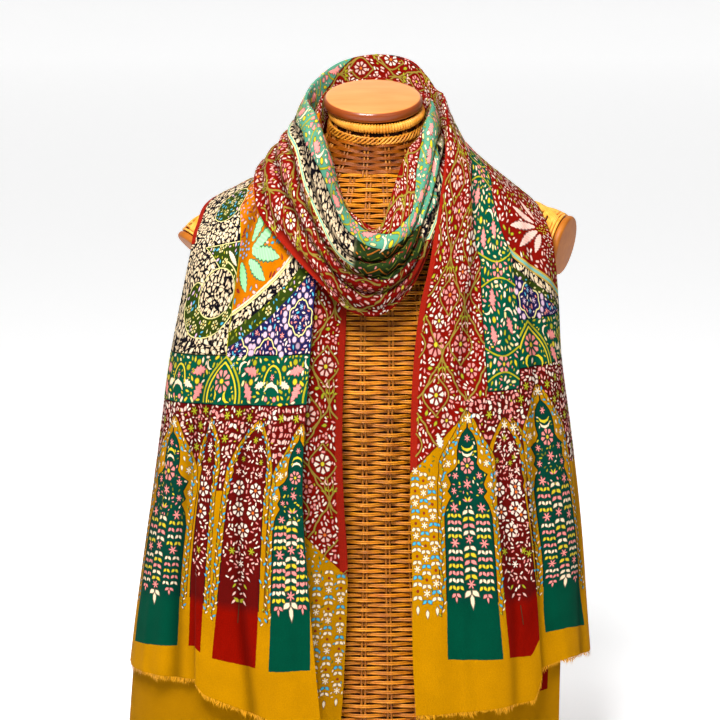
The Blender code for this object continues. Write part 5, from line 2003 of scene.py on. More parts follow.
def right_front_embroidery(pattern):
    embroider_arches(pattern, RIGHT_PANELS, True)
    embroider_garlands(pattern, RIGHT_GARLANDS, 0.118, 0.264, -1)
    embroider_stars(pattern)
    embroider_band(pattern, "teal", SHAWL_LENGTH - RIGHT_TEAL_LOW, SHAWL_LENGTH - RIGHT_TEAL_HIGH,
                   0.196, -RIGHT_TEAL_FALL, 0.172)
    embroider_strip(pattern, "teal_strip", 1.70, SHAWL_LENGTH - STRIP_START,
                    lambda x: strip_edges(SHAWL_LENGTH - x), 0.108, 0.019)
    embroider_sun(pattern, ["red_sun"], (SHAWL_LENGTH - RIGHT_SUN[0], RIGHT_SUN[1]), RIGHT_LEAVES, "pale_pink",
                  ("white", "pale_pink", "spring"))
    embroider_roses(pattern, ["rose_ring"], 0.0140, 0.0150)
    embroider_diamonds(pattern, RIGHT_DIAMONDS)
    embroider_leaf_ground(pattern, ["leaf_ring"])
    embroider_red_vine(pattern, shift=(1.975, 0.062))


def roll_embroidery(pattern):
    """Border of the green edge that is rolled over at the neck."""
    embroider_strip(pattern, "teal_roll", pattern.low[0], pattern.high[0],
                    lambda x: [bent_line(x, rows, BAND_SCALE) for rows in (ROLL_INNER, ROLL_OUTER)], 0.072, 0.02)
    pattern.fill(["teal_roll"], 0.0030, ("cream", "pink", "pale_pink"), 0.0046, 0.0024, ("dash", "leaf"))


def cowl_embroidery(pattern):
    roll_embroidery(pattern)
    embroider_zigzag(pattern)
    embroider_roses(pattern, ["rose_ring"], 0.0145, 0.0155)
    embroider_red_vine(pattern, **NECK_VINE)


def nape_embroidery(pattern):
    roll_embroidery(pattern)
    embroider_red_vine(pattern, **NECK_VINE)


def left_under_embroidery(pattern):
    embroider_garlands(pattern, LEFT_GARLANDS, 0.060, 0.215, 1)
    embroider_red_vine(pattern, shift=(0.35, 0.038))


EMBROIDERY = {"left_end_front": left_front_embroidery, "right_end_front": right_front_embroidery,
              "cowl": cowl_embroidery, "nape_inner_pass": nape_embroidery, "nape_outer_pass": nape_embroidery,
              "left_end_under": left_under_embroidery, "right_end_under": embroider_red_vine}


def embroider(sheet, seed):
    """Embroidery of one sheet in its flat frame."""
    pattern = Pattern(sheet, seed)
    EMBROIDERY[sheet.name](pattern)
    return pattern


# ---- dress form -----------------------------------------------------------------------
CANE_PITCH = 0.0056
NECK_PITCH = 0.0052
NECK_CANE_SHARE = 0.83
# painted shade: the neck's canes are painted darker and browner, as the neck stands in shade under the cowl
NECK_PAINTED_SHADE = (0.46, 0.32, 0.16)
CANE_RISE = 0.0023
STAKE_GAP = 0.0022
WEAVE_INSET = 0.0036
CORE_INSET = 0.0080
BODY_STAKES = 22
NECK_STAKES = 14
NECK_WEAVE_START = 0.700
TWIST_HEIGHT = 0.7520
TWIST_WIDTH = 0.0040
TWIST_TURNS = 15
TWIST_STRANDS = 4
RING_WRAPS = 96
# winding round an arm stub: its start and pitch, and the bundles that cross it
WRAP_START = 0.030
WRAP_PITCH = 0.0033
BUNDLES = 7
BUNDLE_STRANDS = 4
BUNDLE_REACH = 0.052
ARMS = (("right", RIGHT_ARM, 1.0), ("left", LEFT_ARM, -1.0))
CORE_MATERIAL = "shadowed_inside"
YARN_MATERIAL = "loose_yarn"
# how far a loose yarn starts inside its hem, and how far its surface goes on from the hem
YARN_FOOT = 0.0012
YARN_ROOM = (0.0, 0.006, 0.014)


def torso_surface(turns, height, inset):
    """Point of the torso's surface; the neck leans so that its back stands higher."""
    share = float(ramp(height, NECK_TILT_START, NECK_TOP))
    half_width, front, back, square = table_at(TORSO_SECTIONS, height)
    angle = 2 * math.pi * turns
    radius = section_radius(angle, half_width, half_width, front, back, square) - inset
    point = polar(math.degrees(angle), radius, height)
    point[2] += point[1] * NECK_TILT * share
    return point


def surface_grid(function, turns, levels, inset):
    points = np.array([[function(turn, level, inset) for turn in turns] for level in levels])
    across = np.gradient(points, axis=1)
    along = np.gradient(points, axis=0)
    normals = np.cross(across, along)
    normals /= np.linalg.norm(normals, axis=2, keepdims=True)
    flat = np.array([[(turn, level) for turn in turns] for level in levels])
    return points, normals, flat


def arm_axis(outward, degrees_down, ahead):
    """Direction of an arm stub: outward, down by a turn and forward by another, the second in radians."""
    down = math.radians(degrees_down)
    return Vector((outward * math.cos(down) * math.cos(ahead), -math.sin(ahead) * math.cos(down), -math.sin(down)))


def arm_surface(path, outward):
    """Function that gives the points of an arm stub by turns round it and distance along, and its length."""
    reach = [0.0]
    for first, second in zip(path, path[1:]):
        reach.append(reach[-1] + math.dist(first[:3], second[:3]))

    def point(turns, distance, inset):
        x, y, z, radius, turn = curve(reach, path, distance)
        axis = arm_axis(outward, turn, math.radians(ARM_FORWARD_TURN) * distance / reach[-1])
        level = Vector((0, 0, 1)).cross(axis).normalized()
        upright = axis.cross(level)
        angle = -2 * math.pi * turns
        offset = level * math.cos(angle) + upright * math.sin(angle)
        return np.array(Vector((x, y, z)) + offset * (radius - inset))

    return point, reach[-1]


def closed_skin(name, points):
    """Closed solid over rings of points, with flat ends."""
    rows, columns = points.shape[:2]
    index = np.arange(rows * columns).reshape(rows, columns)
    after = np.roll(index, -1, axis=1)
    faces = np.stack((index[:-1], after[:-1], after[1:], index[1:]), axis=-1).reshape(-1, 4).tolist()
    made = new_object(name, points.reshape(-1, 3), faces + [index[0][::-1].tolist(), index[-1].tolist()])
    face_outwards(made)
    made.data.shade_smooth()
    made.data.set_sharp_from_angle(angle=math.radians(50))
    return made


def swept(name, paths, radius, sides):
    """Round strands of one radius along paths, joined in one mesh."""
    vertices = []
    faces = []
    for path in paths:
        path = np.asarray(path)
        along = np.gradient(path, axis=0)
        along /= np.linalg.norm(along, axis=1, keepdims=True)
        guide = np.array((0.0, 0.0, 1.0)) if abs(along[0][2]) < 0.7 else np.array((1.0, 0.0, 0.0))
        first = np.cross(along, guide)
        first /= np.linalg.norm(first, axis=1, keepdims=True)
        second = np.cross(along, first)
        start = len(vertices)
        for step in range(len(path)):
            for side in range(sides):
                angle = 2 * math.pi * side / sides
                vertices.append(path[step] + radius * (math.cos(angle) * first[step]
                                                       + math.sin(angle) * second[step]))
        for step in range(len(path) - 1):
            for side in range(sides):
                a = start + step * sides + side
                b = start + step * sides + (side + 1) % sides
                faces.append((a, b, b + sides, a + sides))
        faces.append(tuple(start + side for side in range(sides - 1, -1, -1)))
        last = start + (len(path) - 1) * sides
        faces.append(tuple(last + side for side in range(sides)))
    made = new_object(name, vertices, faces)
    made.data.shade_smooth()
    return made


def weave(name, function, levels, stakes, strands, material, seed, radius):
    """Rows of thin canes round a surface, each row over and under the stakes the other way round."""
    segments = stakes * 4
    first = cane_mesh("cane_a", stakes / 2, 0.0, CANE_RISE, radius, segments)
    second = cane_mesh("cane_b", stakes / 2, math.pi, CANE_RISE, radius, segments)
    collection = motif_collection(name + "_canes", (first, second))
    turns = np.linspace(-0.02, 1.02, 105)
    steps = np.linspace(levels[0] - 0.004, levels[-1] + 0.004, 90)
    carrier = carrier_of(name + "_carrier", *surface_grid(function, turns, steps, WEAVE_INSET))
    layout = Layout()
    chance = random.Random(seed)
    for row, level in enumerate(levels):
        for strand in range(strands):
            tone = chance.uniform(0.80, 1.15)
            colour = (tone, tone * chance.uniform(0.92, 1.03), tone * chance.uniform(0.75, 1.1))
            place = level + (strand - (strands - 1) / 2) * radius * 1.75
            layout.put(row % 2, 0.0, place, 0.0, 1.0, 1.0, colour, chance.uniform(0.92, 1.0))
    made = layout.lay(name, carrier, collection, material, 0.0)
    bpy.data.objects.remove(carrier)
    return made


def cane_material(dark, light):
    """Varnished cane: honey on top of each bulge, browner in the hollows between the rows."""
    material, nodes, shader = new_material("cane", {
        "Roughness": 0.42, "Coat Weight": 0.12, "Coat Roughness": 0.3, "Specular IOR Level": 0.3})
    place = nodes.place()
    fine = nodes.noise(place, 900.0, 2.0, 0.6)
    base = nodes.ramp(nodes.noise(place, 55.0, 3.0, 0.6), (0.25, dark), (0.75, light))
    paint(nodes, shader, nodes.shade(nodes.times(base, nodes.attribute("thread", 1)), fine * 0.4 + 0.8))
    bump(nodes, shader, fine, 0.0002, 0.4)
    return material


def plain_cane_material(name, dark, pale):
    material, nodes, shader = new_material(name, {"Roughness": 0.45, "Coat Weight": 0.10,
                                                  "Coat Roughness": 0.35, "Specular IOR Level": 0.3})
    place = nodes.place()
    paint(nodes, shader, nodes.ramp(nodes.noise(place, 80.0, 3.0, 0.6), (0.3, dark), (0.75, pale)))
    bump(nodes, shader, nodes.noise(place, 900.0), 0.0003, 0.5)
    return material


def wood_material(name, gloss, dark, light, axis=None):
    """Turned wood; round the given axis the varnish on the rim is darker than on the face."""
    material, nodes, shader = new_material(name, {
        "Roughness": 0.5 - gloss * 0.3, "Coat Weight": gloss, "Coat Roughness": 0.14, "Specular IOR Level": 0.25})
    place = nodes.place()
    x, y, z = nodes.parts(place)
    grain = nodes.noise(nodes.vector(x * 10.0, y * 60.0, z * 60.0), 1.4, 4.0, 0.6)
    broad = nodes.noise(place, 14.0, 2.0, 0.5)
    colour = nodes.ramp(grain * 0.5 + broad * 0.5, (0.30, dark), (0.72, light))
    if axis is not None:
        across, away, up = nodes.parts(nodes.value("ShaderNodeTexCoord", {}, {}, 1))
        facing = across * axis.x + away * axis.y + up * axis.z
        # painted shade: the sideways-facing rim is painted dark brown
        colour = nodes.mix(facing.over(0.84, 0.16), linear(134, 58, 14), colour)
    paint(nodes, shader, colour)
    bump(nodes, shader, grain, 0.0002, 0.10)
    return material


def turned_cap(name, foot, axis, side_axis, radii, height, edge, crown):
    """Turned plate with a rounded rim and a slightly crowned top."""
    level = side_axis.normalized()
    other = axis.cross(level).normalized()
    profile = []
    for step in range(7):
        angle = -math.pi / 2 + math.pi / 2 * step / 6
        profile.append((edge + edge * math.sin(angle), -edge + edge * math.cos(angle)))
    for step in range(9):
        angle = math.pi / 2 * step / 8
        profile.append((height - crown - edge + edge * math.sin(angle), -edge + edge * math.cos(angle)))
    rings = [(rise, 1.0, growth) for rise, growth in profile]
    rings += [(height - crown * share ** 2, share, -edge * share) for share in (0.85, 0.6, 0.3, 0.05)]
    points = []
    for rise, share, growth in rings:
        ring = []
        for side in range(96):
            angle = 2 * math.pi * side / 96
            reach = level * math.cos(angle) * (radii[0] * share + growth)
            reach += other * math.sin(angle) * (radii[1] * share + growth)
            ring.append(foot + axis * rise + reach)
        points.append(ring)
    return closed_skin(name, np.array([[tuple(p) for p in ring] for ring in points]))


def bound_ring(name, foot, lean):
    """Ring of cane bound round with a narrow strand, so each turn stands out."""
    minor_out, minor_up = 0.0050, RING_HEIGHT / 2
    major = (RING_RADIUS - minor_out, RING_RADIUS * 1.03 - minor_out)
    around, section = RING_WRAPS * 6, 12
    level = Vector((1, 0, 0))
    other = lean.cross(level).normalized()
    points = []
    for step in range(around):
        angle = 2 * math.pi * step / around
        bulge = abs(math.sin(math.pi * RING_WRAPS * step / around)) ** 0.6
        out = level * math.cos(angle) + other * math.sin(angle)
        centre = foot + lean * minor_up + level * math.cos(angle) * major[0] \
            + other * math.sin(angle) * major[1]
        ring = []
        for side in range(section):
            turn = 2 * math.pi * side / section
            shrink = 0.62 + 0.38 * bulge
            ring.append(centre + out * math.cos(turn) * minor_out * shrink
                        + lean * math.sin(turn) * minor_up * shrink)
        points.append([tuple(p) for p in ring])
    points = np.array(points)
    rows, columns = points.shape[:2]
    index = np.arange(rows * columns).reshape(rows, columns)
    after = np.roll(index, -1, axis=1)
    ahead = np.roll(index, -1, axis=0)
    both = np.roll(ahead, -1, axis=1)
    faces = np.stack((index, ahead, both, after), axis=-1).reshape(-1, 4)
    made = new_object(name, points.reshape(-1, 3), faces)
    face_outwards(made)
    made.data.shade_smooth()
    return made


def dress(piece, material):
    """Give a finished piece its material, its slot and its body."""
    piece.data.materials.clear()
    piece.data.materials.append(material)
    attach(piece, "root")
    return piece


def neck_twist():
    """Rope-like twist of canes under the neck's bound ring."""
    paths = []
    for strand in range(TWIST_STRANDS):
        path = []
        for step in range(TWIST_TURNS * 12 + 1):
            turn = step / (TWIST_TURNS * 12)
            phase = 2 * math.pi * (TWIST_TURNS * turn + strand / TWIST_STRANDS)
            path.append(torso_surface(turn, TWIST_HEIGHT + TWIST_WIDTH * math.sin(phase),
                                      0.0024 - 0.0012 * math.cos(phase)))
        paths.append(path)
    return swept("neck_twist", paths, 0.0013, 5)


def arm_wraps(side, path, outward, radius):
    """Cane wound round an arm stub, with a few turns that cross the others."""
    surface, length = arm_surface(path, outward)
    paths = []
    chance = random.Random(17)
    level = WRAP_START
    while level < length - 0.0015:
        lean = chance.uniform(-0.0010, 0.0010)
        paths.append([surface(turn, min(level + lean * math.sin(2 * math.pi * turn), length - 0.001), 0.0030)
                      for turn in np.linspace(0, 1, 49)])
        level += WRAP_PITCH
    low = length - BUNDLE_REACH
    for bundle in range(BUNDLES):
        start = bundle / BUNDLES + chance.uniform(-0.02, 0.02)
        sweep = (0.20 if bundle % 3 else -0.24) + chance.uniform(-0.04, 0.04)
        for strand in range(BUNDLE_STRANDS):
            paths.append([surface(start + strand * 0.0155 + sweep * share, low + 0.049 * share,
                                  0.0012 + 0.0010 * math.cos(math.pi * share * 3 + strand * 0.3))
                          for share in np.linspace(0, 1, 25)])
    for place in (0.0014, 0.0048, 0.0082):
        paths.append([surface(turn, length - place, 0.0006) for turn in np.linspace(0, 1, 49)])
    return swept("arm_wraps_" + side, paths, radius, 5)


def painted_shade_core(name, surface, levels, sides, inset):
    """Dark skin under canes, which closes the view between them."""
    skin = np.array([[surface(turn, level, inset) for turn in np.arange(sides) / sides] for level in levels])
    dress(closed_skin(name, skin), core_material())


def stake_path(turn, shift, heights):
    """Line of one stake up the torso, beside the middle of its pair."""
    path = []
    for height in heights:
        around = np.linalg.norm(torso_surface(turn, height, 0.0)[:2])
        path.append(torso_surface(turn + shift / (2 * math.pi * around), height, WEAVE_INSET + 0.0004))
    return path


def torso_stakes(radius):
    """Pairs of upright stakes in the torso and in its neck."""
    paths = []
    for stakes, low, high in ((BODY_STAKES, 0.001, NECK_WEAVE_START),
                              (NECK_STAKES, NECK_WEAVE_START - 0.004, NECK_TOP - 0.001)):
        heights = np.linspace(low, high, 44)
        paths += [stake_path((stake + 0.5) / stakes, shift, heights)
                  for stake in range(stakes) for shift in (-STAKE_GAP, STAKE_GAP)]
    return swept("torso_stakes", paths, radius, 5)


def build_torso(sizes):
    """Woven torso and neck with their stakes and a dark core."""
    cane = cane_material(tuple(sizes.cane_dark), tuple(sizes.cane_pale))
    levels = np.arange(0.0040, NECK_WEAVE_START, CANE_PITCH)
    body = weave("torso_weave", torso_surface, levels, BODY_STAKES, 2, cane, 3, sizes.cane_radius)
    dress(body, cane)
    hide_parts("form_torso")
    neck_levels = np.arange(levels[-1] + NECK_PITCH, NECK_TOP - 0.0120, NECK_PITCH)
    # painted shade: darker copies of the cane colours for the neck
    neck_shade_colours = [tuple(share * value for share, value in zip(NECK_PAINTED_SHADE, colour))
               for colour in (sizes.cane_dark, sizes.cane_pale)]
    shaded_neck_cane = cane_material(*neck_shade_colours)
    neck = weave("neck_weave", torso_surface, neck_levels, NECK_STAKES, 3, shaded_neck_cane, 5,
                 sizes.cane_radius * NECK_CANE_SHARE)
    dress(neck, shaded_neck_cane)
    dress(neck_twist(), plain_cane_material("twist_cane", linear(170, 96, 16), linear(228, 156, 44)))
    painted_shade_core("torso_core", torso_surface, np.linspace(0.001, NECK_TOP - 0.002, 90), 72, CORE_INSET)
    stakes = torso_stakes(sizes.stake_radius)
    dress(stakes, plain_cane_material("stake_cane", linear(122, 62, 10), linear(190, 116, 24)))


def build_stubs(sizes):
    """Cane wraps of both arm stubs and the dark cores under them."""
    pale = plain_cane_material("arm_cane", tuple(sizes.wrap_dark), tuple(sizes.wrap_pale))
    for side, path, outward in ARMS:
        surface, length = arm_surface(path, outward)
        dress(arm_wraps(side, path, outward, sizes.wrap_radius), pale)
        painted_shade_core("arm_core_" + side, surface, np.linspace(0.0, length - 0.001, 16), 32, 0.0046)


def core_material():
    found = bpy.data.materials.get(CORE_MATERIAL)
    if found is not None:
        return found
    # painted shade: mottled dark brown for the shadowed inside of the form
    material, nodes, shader = new_material(CORE_MATERIAL, {"Roughness": 0.9})
    spots = nodes.noise(nodes.place(), 120.0)
    paint(nodes, shader, nodes.ramp(spots, (0.3, linear(40, 14, 3)), (0.8, linear(78, 32, 6))))
    return material


def build_caps(sizes):
    """Bound ring, neck cap and arm caps."""
    lean = Vector((0, -NECK_TILT, 1)).normalized()
    # the neck cap's wood gets a painted shade on its rim, round the neck's lean
    wood = wood_material("varnished_turned_wood", sizes.cap_gloss, tuple(sizes.wood_dark), tuple(sizes.wood_pale),
                         lean)
    waxed = wood_material("waxed_turned_wood", 0.0, linear(158, 84, 14), linear(190, 112, 30))
    across = Vector((1, 0, 0))
    foot = Vector((0, 0, NECK_TOP)) + lean * SEAM
    ring = bound_ring("neck_ring_binding", foot, lean)
    dress(ring, plain_cane_material("binding_cane", linear(204, 122, 22), linear(240, 172, 64)))
    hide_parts("neck_ring")
    foot = foot + lean * (RING_HEIGHT + SEAM) + across * CAP_SHIFT
    cap = turned_cap("neck_cap_turned", foot, lean, across, (CAP_HALF_WIDTH, CAP_HALF_DEPTH),
                     CAP_HEIGHT, 0.0055, 0.0012)
    dress(cap, wood)
    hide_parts("neck_cap")
    for side, path, outward in ARMS:
        axis = arm_axis(outward, path[-1][4], math.radians(ARM_FORWARD_TURN))
        centre = Vector(path[-1][:3]) + axis * SEAM
        radius = path[-1][3] + 0.0005
        cap = turned_cap("arm_cap_turned_" + side, centre, axis, Vector((0, 0, 1)).cross(axis),
                         (radius, radius), ARM_CAP_HEIGHT, 0.0035, 0.0010)
        dress(cap, waxed)
        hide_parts("arm_cap_" + side)


def hem_carrier(name, points, normals, flat, sign):
    """Surface from just inside a hem out into the air, which the loose yarn is laid on."""
    outward = points[0] - points[2]
    outward /= np.linalg.norm(outward, axis=1, keepdims=True)
    reach = (-abs(flat[2, 0, 0] - flat[0, 0, 0]), *YARN_ROOM)
    grid = np.array([points[2]] + [points[0] + outward * step for step in YARN_ROOM])
    places = np.array([np.column_stack((np.full(len(flat[0]), flat[0, 0, 0] + sign * step), flat[0, :, 1]))
                       for step in reach])
    facing = np.array([normals[0]] * len(reach))
    return carrier_of(name, grid[::sign], facing[::sign], places[::sign])


def frayed_hem(sheet, longest, hem_first, seed):
    """Loose ends of yarn along a hem, in clumps."""
    sign = -1 if hem_first else 1
    points, normals, flat = sheet.points[::-sign], sheet.normals[::-sign], sheet.flat[::-sign]
    carrier = hem_carrier(sheet.name + "_hem", points, normals, flat, sign)
    fibre = fan_motif("fibre", [([(0.0, -0.5), (0.6, -0.4), (1.0, 0.0), (0.6, 0.4), (0.0, 0.5)], (0.4, 0.0))], 0.0)
    chance = random.Random(seed)
    layout = Layout()
    y = flat[0, 0, 1]
    clump = 1.0
    while y < flat[0, -1, 1]:
        clump = min(max(clump + chance.uniform(-0.22, 0.22), 0.45), 1.35)
        length = chance.uniform(0.54, 1.0) * longest * clump
        tone = chance.uniform(1.0, 1.7)
        turn = (180 if hem_first else 0) + chance.gauss(0, 17)
        layout.put(0, flat[0, 0, 0] - sign * YARN_FOOT, y, math.radians(turn), length + YARN_FOOT,
                   chance.uniform(0.0005, 0.0011), [part * tone for part in dye("mustard")], 1.0,
                   chance.uniform(-3.0, 3.0))
        y += chance.uniform(0.00035, 0.0008)
    made = layout.lay(sheet.name + "_fray", carrier, motif_collection(sheet.name + "_fibres", (fibre,)),
                      fibre_material(), 0.0)
    bpy.data.objects.remove(carrier)
    return made


def fibre_material():
    found = bpy.data.materials.get(YARN_MATERIAL)
    if found is not None:
        return found
    material, nodes, shader = new_material(YARN_MATERIAL, {"Roughness": 0.9, "Sheen Weight": 0.2,
                                                           "Specular IOR Level": 0.2})
    thread = nodes.attribute("thread", 0)
    paint(nodes, shader, nodes.shade(thread, nodes.noise(nodes.place(), 900.0) * 0.5 + 0.75))
    return material


@functools.lru_cache(maxsize=1)
def all_sheets(crease_depth):
    """Every stretch of the shawl by the name of its solid."""
    sheets = shawl_sheets(crease_depth)
    for name, rows, hem in (("left_end_under", LEFT_ROWS, LEFT_UNDER_HEM),
                            ("right_end_under", RIGHT_ROWS, RIGHT_UNDER_HEM)):
        sheets[name] = under_sheet(name, rows, hem)
    return sheets


# what each stretch of the shawl lies on
RESTS_ON = {
    "left_end_front": ("left_end_under", "form_torso"), "nape_inner_pass": ("form_torso",),
    "cowl": ("form_torso", "left_end_front"), "nape_outer_pass": ("nape_inner_pass",),
    "right_end_front": ("right_end_under", "form_torso"), "left_end_under": ("form_torso",),
    "right_end_under": ("form_torso",),
}


def cut_size(points):
    """Width, length and area of a grid of cloth when it is laid flat."""
    across, along = np.diff(points, axis=1), np.diff(points, axis=0)
    first = points[1:, 1:] - points[:-1, :-1]
    second = points[1:, :-1] - points[:-1, 1:]
    area = np.linalg.norm(np.cross(first, second), axis=2).sum() / 2
    width = np.linalg.norm(across, axis=2).sum(axis=1).max()
    length = np.linalg.norm(along, axis=2).sum(axis=0).max()
    return float(width), float(length), float(area)


def build_cloth(name, sizes):
    """One stretch of the shawl with its embroidery and, at an end, its frayed hem."""
    sheet = all_sheets(sizes.crease_depth)[name]
    order = list(RESTS_ON).index(name)
    thickness = sizes.cloth_thickness
    stitch = stitch_material()
    piece = cloth_piece(sheet, thickness)
    dress(piece, cloth_material(name + "_wool", ZONES[name]))
    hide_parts(name)
    pattern = embroider(sheet, 11 + order)
    if pattern.rows:
        carrier = carrier_of(name + "_carrier", sheet.points + sheet.normals * thickness / 2,
                             sheet.normals, sheet.flat, sheet.hollow)
        motifs = bpy.data.collections.get("motifs") or build_motifs()
        work = pattern.lay(name + "_embroidery", carrier, motifs, stitch, sizes.stitch_lift)
        bpy.data.objects.remove(carrier)
        dress(work, stitch)
    if "_end_" in name:
        fray = frayed_hem(sheet, sizes.fray_length, name.startswith("left"), 31 + order)
        dress(fray, fibre_material())
    width, length, area = cut_size(sheet.points)


# height of the floor at places away from the viewer: flat, then rising as a wall
FLOOR_HALF_WIDTH = 14.0
FLOOR_PROFILE = ((-8.0, 0.0), (14.0, 0.0), (17.0, 0.5), (19.0, 2.5), (20.0, 6.0), (20.0, 16.0))
# name, place and size of each light; all are turned to one height on the form's axis
LAMPS = (("key", (-0.42, -1.40, 2.1), 0.8), ("fill", (1.9, -2.8, 1.9), 1.6))
LIT_HEIGHT = 0.45
CAMERA_TARGET = (-0.019, -0.05, 0.484)
CAMERA_DISTANCE = 3.0
CAMERA_TILT = 10.0
SENSOR_WIDTH = 36.0
# half of what the camera sees across at its target: 360 points of the render, 1.15 mm each
VIEW_HALF_WIDTH = 360 * 0.00115


def build_floor(studio):
    """Pale floor with a glow of its own, which rises as a wall far behind."""
    points = np.array([[(side * FLOOR_HALF_WIDTH, y, z) for side in (-1, 1)] for y, z in FLOOR_PROFILE])
    floor = new_object("studio_floor", points.reshape(-1, 3), grid_faces(*points.shape[:2]))
    floor.data.shade_smooth()
    material, nodes, shader = new_material("pale_floor", {
        "Roughness": 0.9, "Base Color": (0.90, 0.90, 0.90, 1.0), "Emission Strength": studio.floor_glow})
    _x, y, _z = nodes.parts(nodes.place())
    glow = nodes.mix(y.over(-0.05, 0.7), (0.22, 0.22, 0.22), (1.0, 1.0, 1.0))
    nodes.tree.links.new(glow.socket, shader.inputs["Emission Color"])
    floor.data.materials.append(material)


def build_sky(studio):
    """Soft light from all round, brighter from above."""
    world = bpy.data.worlds.new("studio")
    bpy.context.scene.world = world
    world.use_nodes = True
    nodes = Nodes(world.node_tree)
    sky = world.node_tree.nodes["Background"]
    sky.inputs["Strength"].default_value = studio.sky_strength
    _x, _y, rise = nodes.parts(nodes.value("ShaderNodeTexCoord", {}, {}, 0))
    dome = nodes.ramp(rise * 0.5 + 0.5, (0.45, (0.30, 0.30, 0.30)), (0.95, (1.0, 1.0, 1.0)))
    world.node_tree.links.new(dome.socket, sky.inputs["Color"])


def build_lamps(studio):
    for (name, place, size), power in zip(LAMPS, (studio.key_power, studio.fill_power)):
        light = bpy.data.lights.new(name, "AREA")
        light.size = size
        light.energy = power
        lamp = bpy.data.objects.new(name, light)
        lamp.location = place
        lamp.rotation_euler = (Vector((0, 0, LIT_HEIGHT)) - Vector(place)).to_track_quat("-Z", "Y").to_euler()
        bpy.context.scene.collection.objects.link(lamp)


def build_camera():
    camera = bpy.data.cameras.new("camera")
    camera.sensor_width = SENSOR_WIDTH
    camera.lens = SENSOR_WIDTH / 2 / (VIEW_HALF_WIDTH / CAMERA_DISTANCE)
    viewer = bpy.data.objects.new("camera", camera)
    tilt = math.radians(CAMERA_TILT)
    away = Vector((0, -CAMERA_DISTANCE * math.cos(tilt), CAMERA_DISTANCE * math.sin(tilt)))
    viewer.location = Vector(CAMERA_TARGET) + away
    viewer.rotation_euler = (math.pi / 2 - tilt, 0, 0)
    bpy.context.scene.collection.objects.link(viewer)
    bpy.context.scene.camera = viewer


def build_stage(studio):
    """Pale floor, soft lights and camera."""
    build_floor(studio)
    build_sky(studio)
    build_lamps(studio)
    build_camera()
    bpy.context.scene.view_settings.view_transform = "Standard"


# ---- settings, operators and panel ----------------------------------------------------
def colour_setting(red, green, blue, use, key):
    return bpy.props.FloatVectorProperty(
        name=key.replace("_", " ").capitalize(), description="Colour of the " + use, subtype="COLOR", size=3,
        min=0.0, max=1.0, default=linear(red, green, blue))


def size_setting(name, description, default, low, high, unit="LENGTH"):
    return bpy.props.FloatProperty(name=name, description=description, default=default, min=low, max=high,
                                   precision=5, unit=unit)


ShawlDyes = type("ShawlDyes", (bpy.types.PropertyGroup,), {
    "__doc__": "Dyes of the wool and of its embroidery",
    "__annotations__": {key: colour_setting(*row, key) for key, row in DYES.items()}})


class ShawlSizes(bpy.types.PropertyGroup):
    """Sizes of the cloth"""
    cloth_thickness: size_setting("Cloth thickness", "Thickness of the woven wool", 0.0014, 0.0006, 0.003)
    stitch_lift: size_setting("Stitch lift", "Height of the embroidery's rim over the wool", 0.00016, 0.0, 0.001)
    fray_length: size_setting("Fray length", "Longest loose yarn at a hem", 0.0082, 0.0, 0.02)
    crease_depth: size_setting("Crease depth", "Depth of the creases as a share of their full depth", 1.0, 0.0,
                               1.5, "NONE")


class FormSizes(bpy.types.PropertyGroup):
    """Sizes and colours of the dress form"""
    cane_radius: size_setting("Cane radius", "Radius of the torso's weaving canes", 0.00115, 0.0006, 0.0016)
    stake_radius: size_setting("Stake radius", "Radius of the upright stakes", 0.0014, 0.0006, 0.002)
    wrap_radius: size_setting("Wrap radius", "Radius of the cane round the arm stubs", 0.0017, 0.0008, 0.0024)
    cap_gloss: size_setting("Cap gloss", "Strength of the varnish on the neck cap", 0.5, 0.0, 1.0, "NONE")
    cane_dark: colour_setting(164, 86, 4, "cane where it is brownest", "cane_dark")
    cane_pale: colour_setting(232, 150, 16, "cane where it is palest", "cane_pale")
    wrap_dark: colour_setting(228, 146, 36, "arm wraps where they are brownest", "wrap_dark")
    wrap_pale: colour_setting(250, 192, 86, "arm wraps where they are palest", "wrap_pale")
    wood_dark: colour_setting(214, 124, 54, "dark grain of the neck cap", "wood_dark")
    wood_pale: colour_setting(238, 156, 88, "pale grain of the neck cap", "wood_pale")


class StudioSettings(bpy.types.PropertyGroup):
    """Light and floor"""
    key_power: size_setting("Key power", "Power of the large light on the left", 78.0, 0.0, 400.0, "POWER")
    fill_power: size_setting("Fill power", "Power of the soft light on the right", 12.0, 0.0, 400.0, "POWER")
    sky_strength: size_setting("Sky strength", "Strength of the light from all round", 0.34, 0.0, 2.0, "NONE")
    floor_glow: size_setting("Floor glow", "Strength of the pale floor's own light", 0.56, 0.0, 2.0, "NONE")


class SHAWL_OT_stage(bpy.types.Operator):
    """Add the pale floor, the lights and the camera"""
    bl_idname = "shawl.stage"
    bl_label = "Stage"

    def execute(self, context):
        build_stage(context.scene.shawl_studio)
        return {"FINISHED"}


class SHAWL_OT_torso(bpy.types.Operator):
    """Weave the torso and the neck of the dress form"""
    bl_idname = "shawl.torso"
    bl_label = "Wicker torso"

    def execute(self, context):
        build_torso(context.scene.shawl_form)
        return {"FINISHED"}


class SHAWL_OT_stubs(bpy.types.Operator):
    """Wind the cane round the arm stubs"""
    bl_idname = "shawl.stubs"
    bl_label = "Arm stubs"

    def execute(self, context):
        build_stubs(context.scene.shawl_form)
        return {"FINISHED"}


class SHAWL_OT_caps(bpy.types.Operator):
    """Turn the neck cap and the arm caps and bind the neck ring"""
    bl_idname = "shawl.caps"
    bl_label = "Caps and ring"

    def execute(self, context):
        build_caps(context.scene.shawl_form)
        return {"FINISHED"}


class SHAWL_OT_left_end(bpy.types.Operator):
    """Hang the left end, its front leaf and the leaf under it"""
    bl_idname = "shawl.left_end"
    bl_label = "Left end"

    def execute(self, context):
        for name in ("left_end_front", "left_end_under"):
            build_cloth(name, context.scene.shawl_sizes)
        return {"FINISHED"}


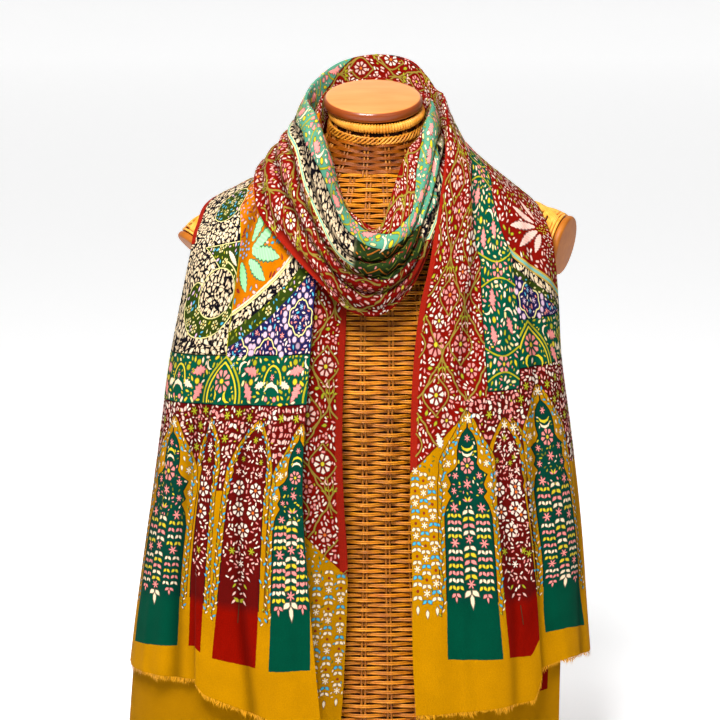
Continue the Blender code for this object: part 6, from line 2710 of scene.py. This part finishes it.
class SHAWL_OT_right_end(bpy.types.Operator):
    """Hang the right end, its front leaf and the leaf under it"""
    bl_idname = "shawl.right_end"
    bl_label = "Right end"

    def execute(self, context):
        for name in ("right_end_front", "right_end_under"):
            build_cloth(name, context.scene.shawl_sizes)
        return {"FINISHED"}


class SHAWL_OT_nape(bpy.types.Operator):
    """Lay the two passes behind the neck"""
    bl_idname = "shawl.nape"
    bl_label = "Nape passes"

    def execute(self, context):
        for name in ("nape_inner_pass", "nape_outer_pass"):
            build_cloth(name, context.scene.shawl_sizes)
        return {"FINISHED"}


class SHAWL_OT_cowl(bpy.types.Operator):
    """Wrap the cowl round the neck, with its rolled upper edge"""
    bl_idname = "shawl.cowl"
    bl_label = "Cowl"

    def execute(self, context):
        build_cloth("cowl", context.scene.shawl_sizes)
        return {"FINISHED"}


GROUPS = {"shawl_dyes": ShawlDyes, "shawl_sizes": ShawlSizes, "shawl_form": FormSizes,
          "shawl_studio": StudioSettings}
OPERATORS = (SHAWL_OT_stage, SHAWL_OT_torso, SHAWL_OT_stubs, SHAWL_OT_caps, SHAWL_OT_left_end,
             SHAWL_OT_nape, SHAWL_OT_cowl, SHAWL_OT_right_end)


class SHAWL_PT_sidebar(bpy.types.Panel):
    """Settings and building steps of the shawl and its dress form"""
    bl_idname = "SHAWL_PT_sidebar"
    bl_label = "Pashmina shawl"
    bl_space_type = "VIEW_3D"
    bl_region_type = "UI"
    bl_category = "Shawl"

    def draw(self, context):
        for name, group in GROUPS.items():
            box = self.layout.box()
            box.label(text=group.__doc__)
            for key in group.__annotations__:
                box.prop(getattr(context.scene, name), key)
        for operator in OPERATORS:
            self.layout.operator(operator.bl_idname)


CLASSES = (*GROUPS.values(), *OPERATORS, SHAWL_PT_sidebar)


def register():
    for kind in CLASSES:
        bpy.utils.register_class(kind)
    for name, group in GROUPS.items():
        setattr(bpy.types.Scene, name, bpy.props.PointerProperty(type=group))


def unregister():
    for name in GROUPS:
        delattr(bpy.types.Scene, name)
    for kind in reversed(CLASSES):
        bpy.utils.unregister_class(kind)


def main():
    register()
    for operator in OPERATORS:
        getattr(bpy.ops.shawl, operator.bl_idname.split(".")[1])()


if __name__ == "__main__":
    main()
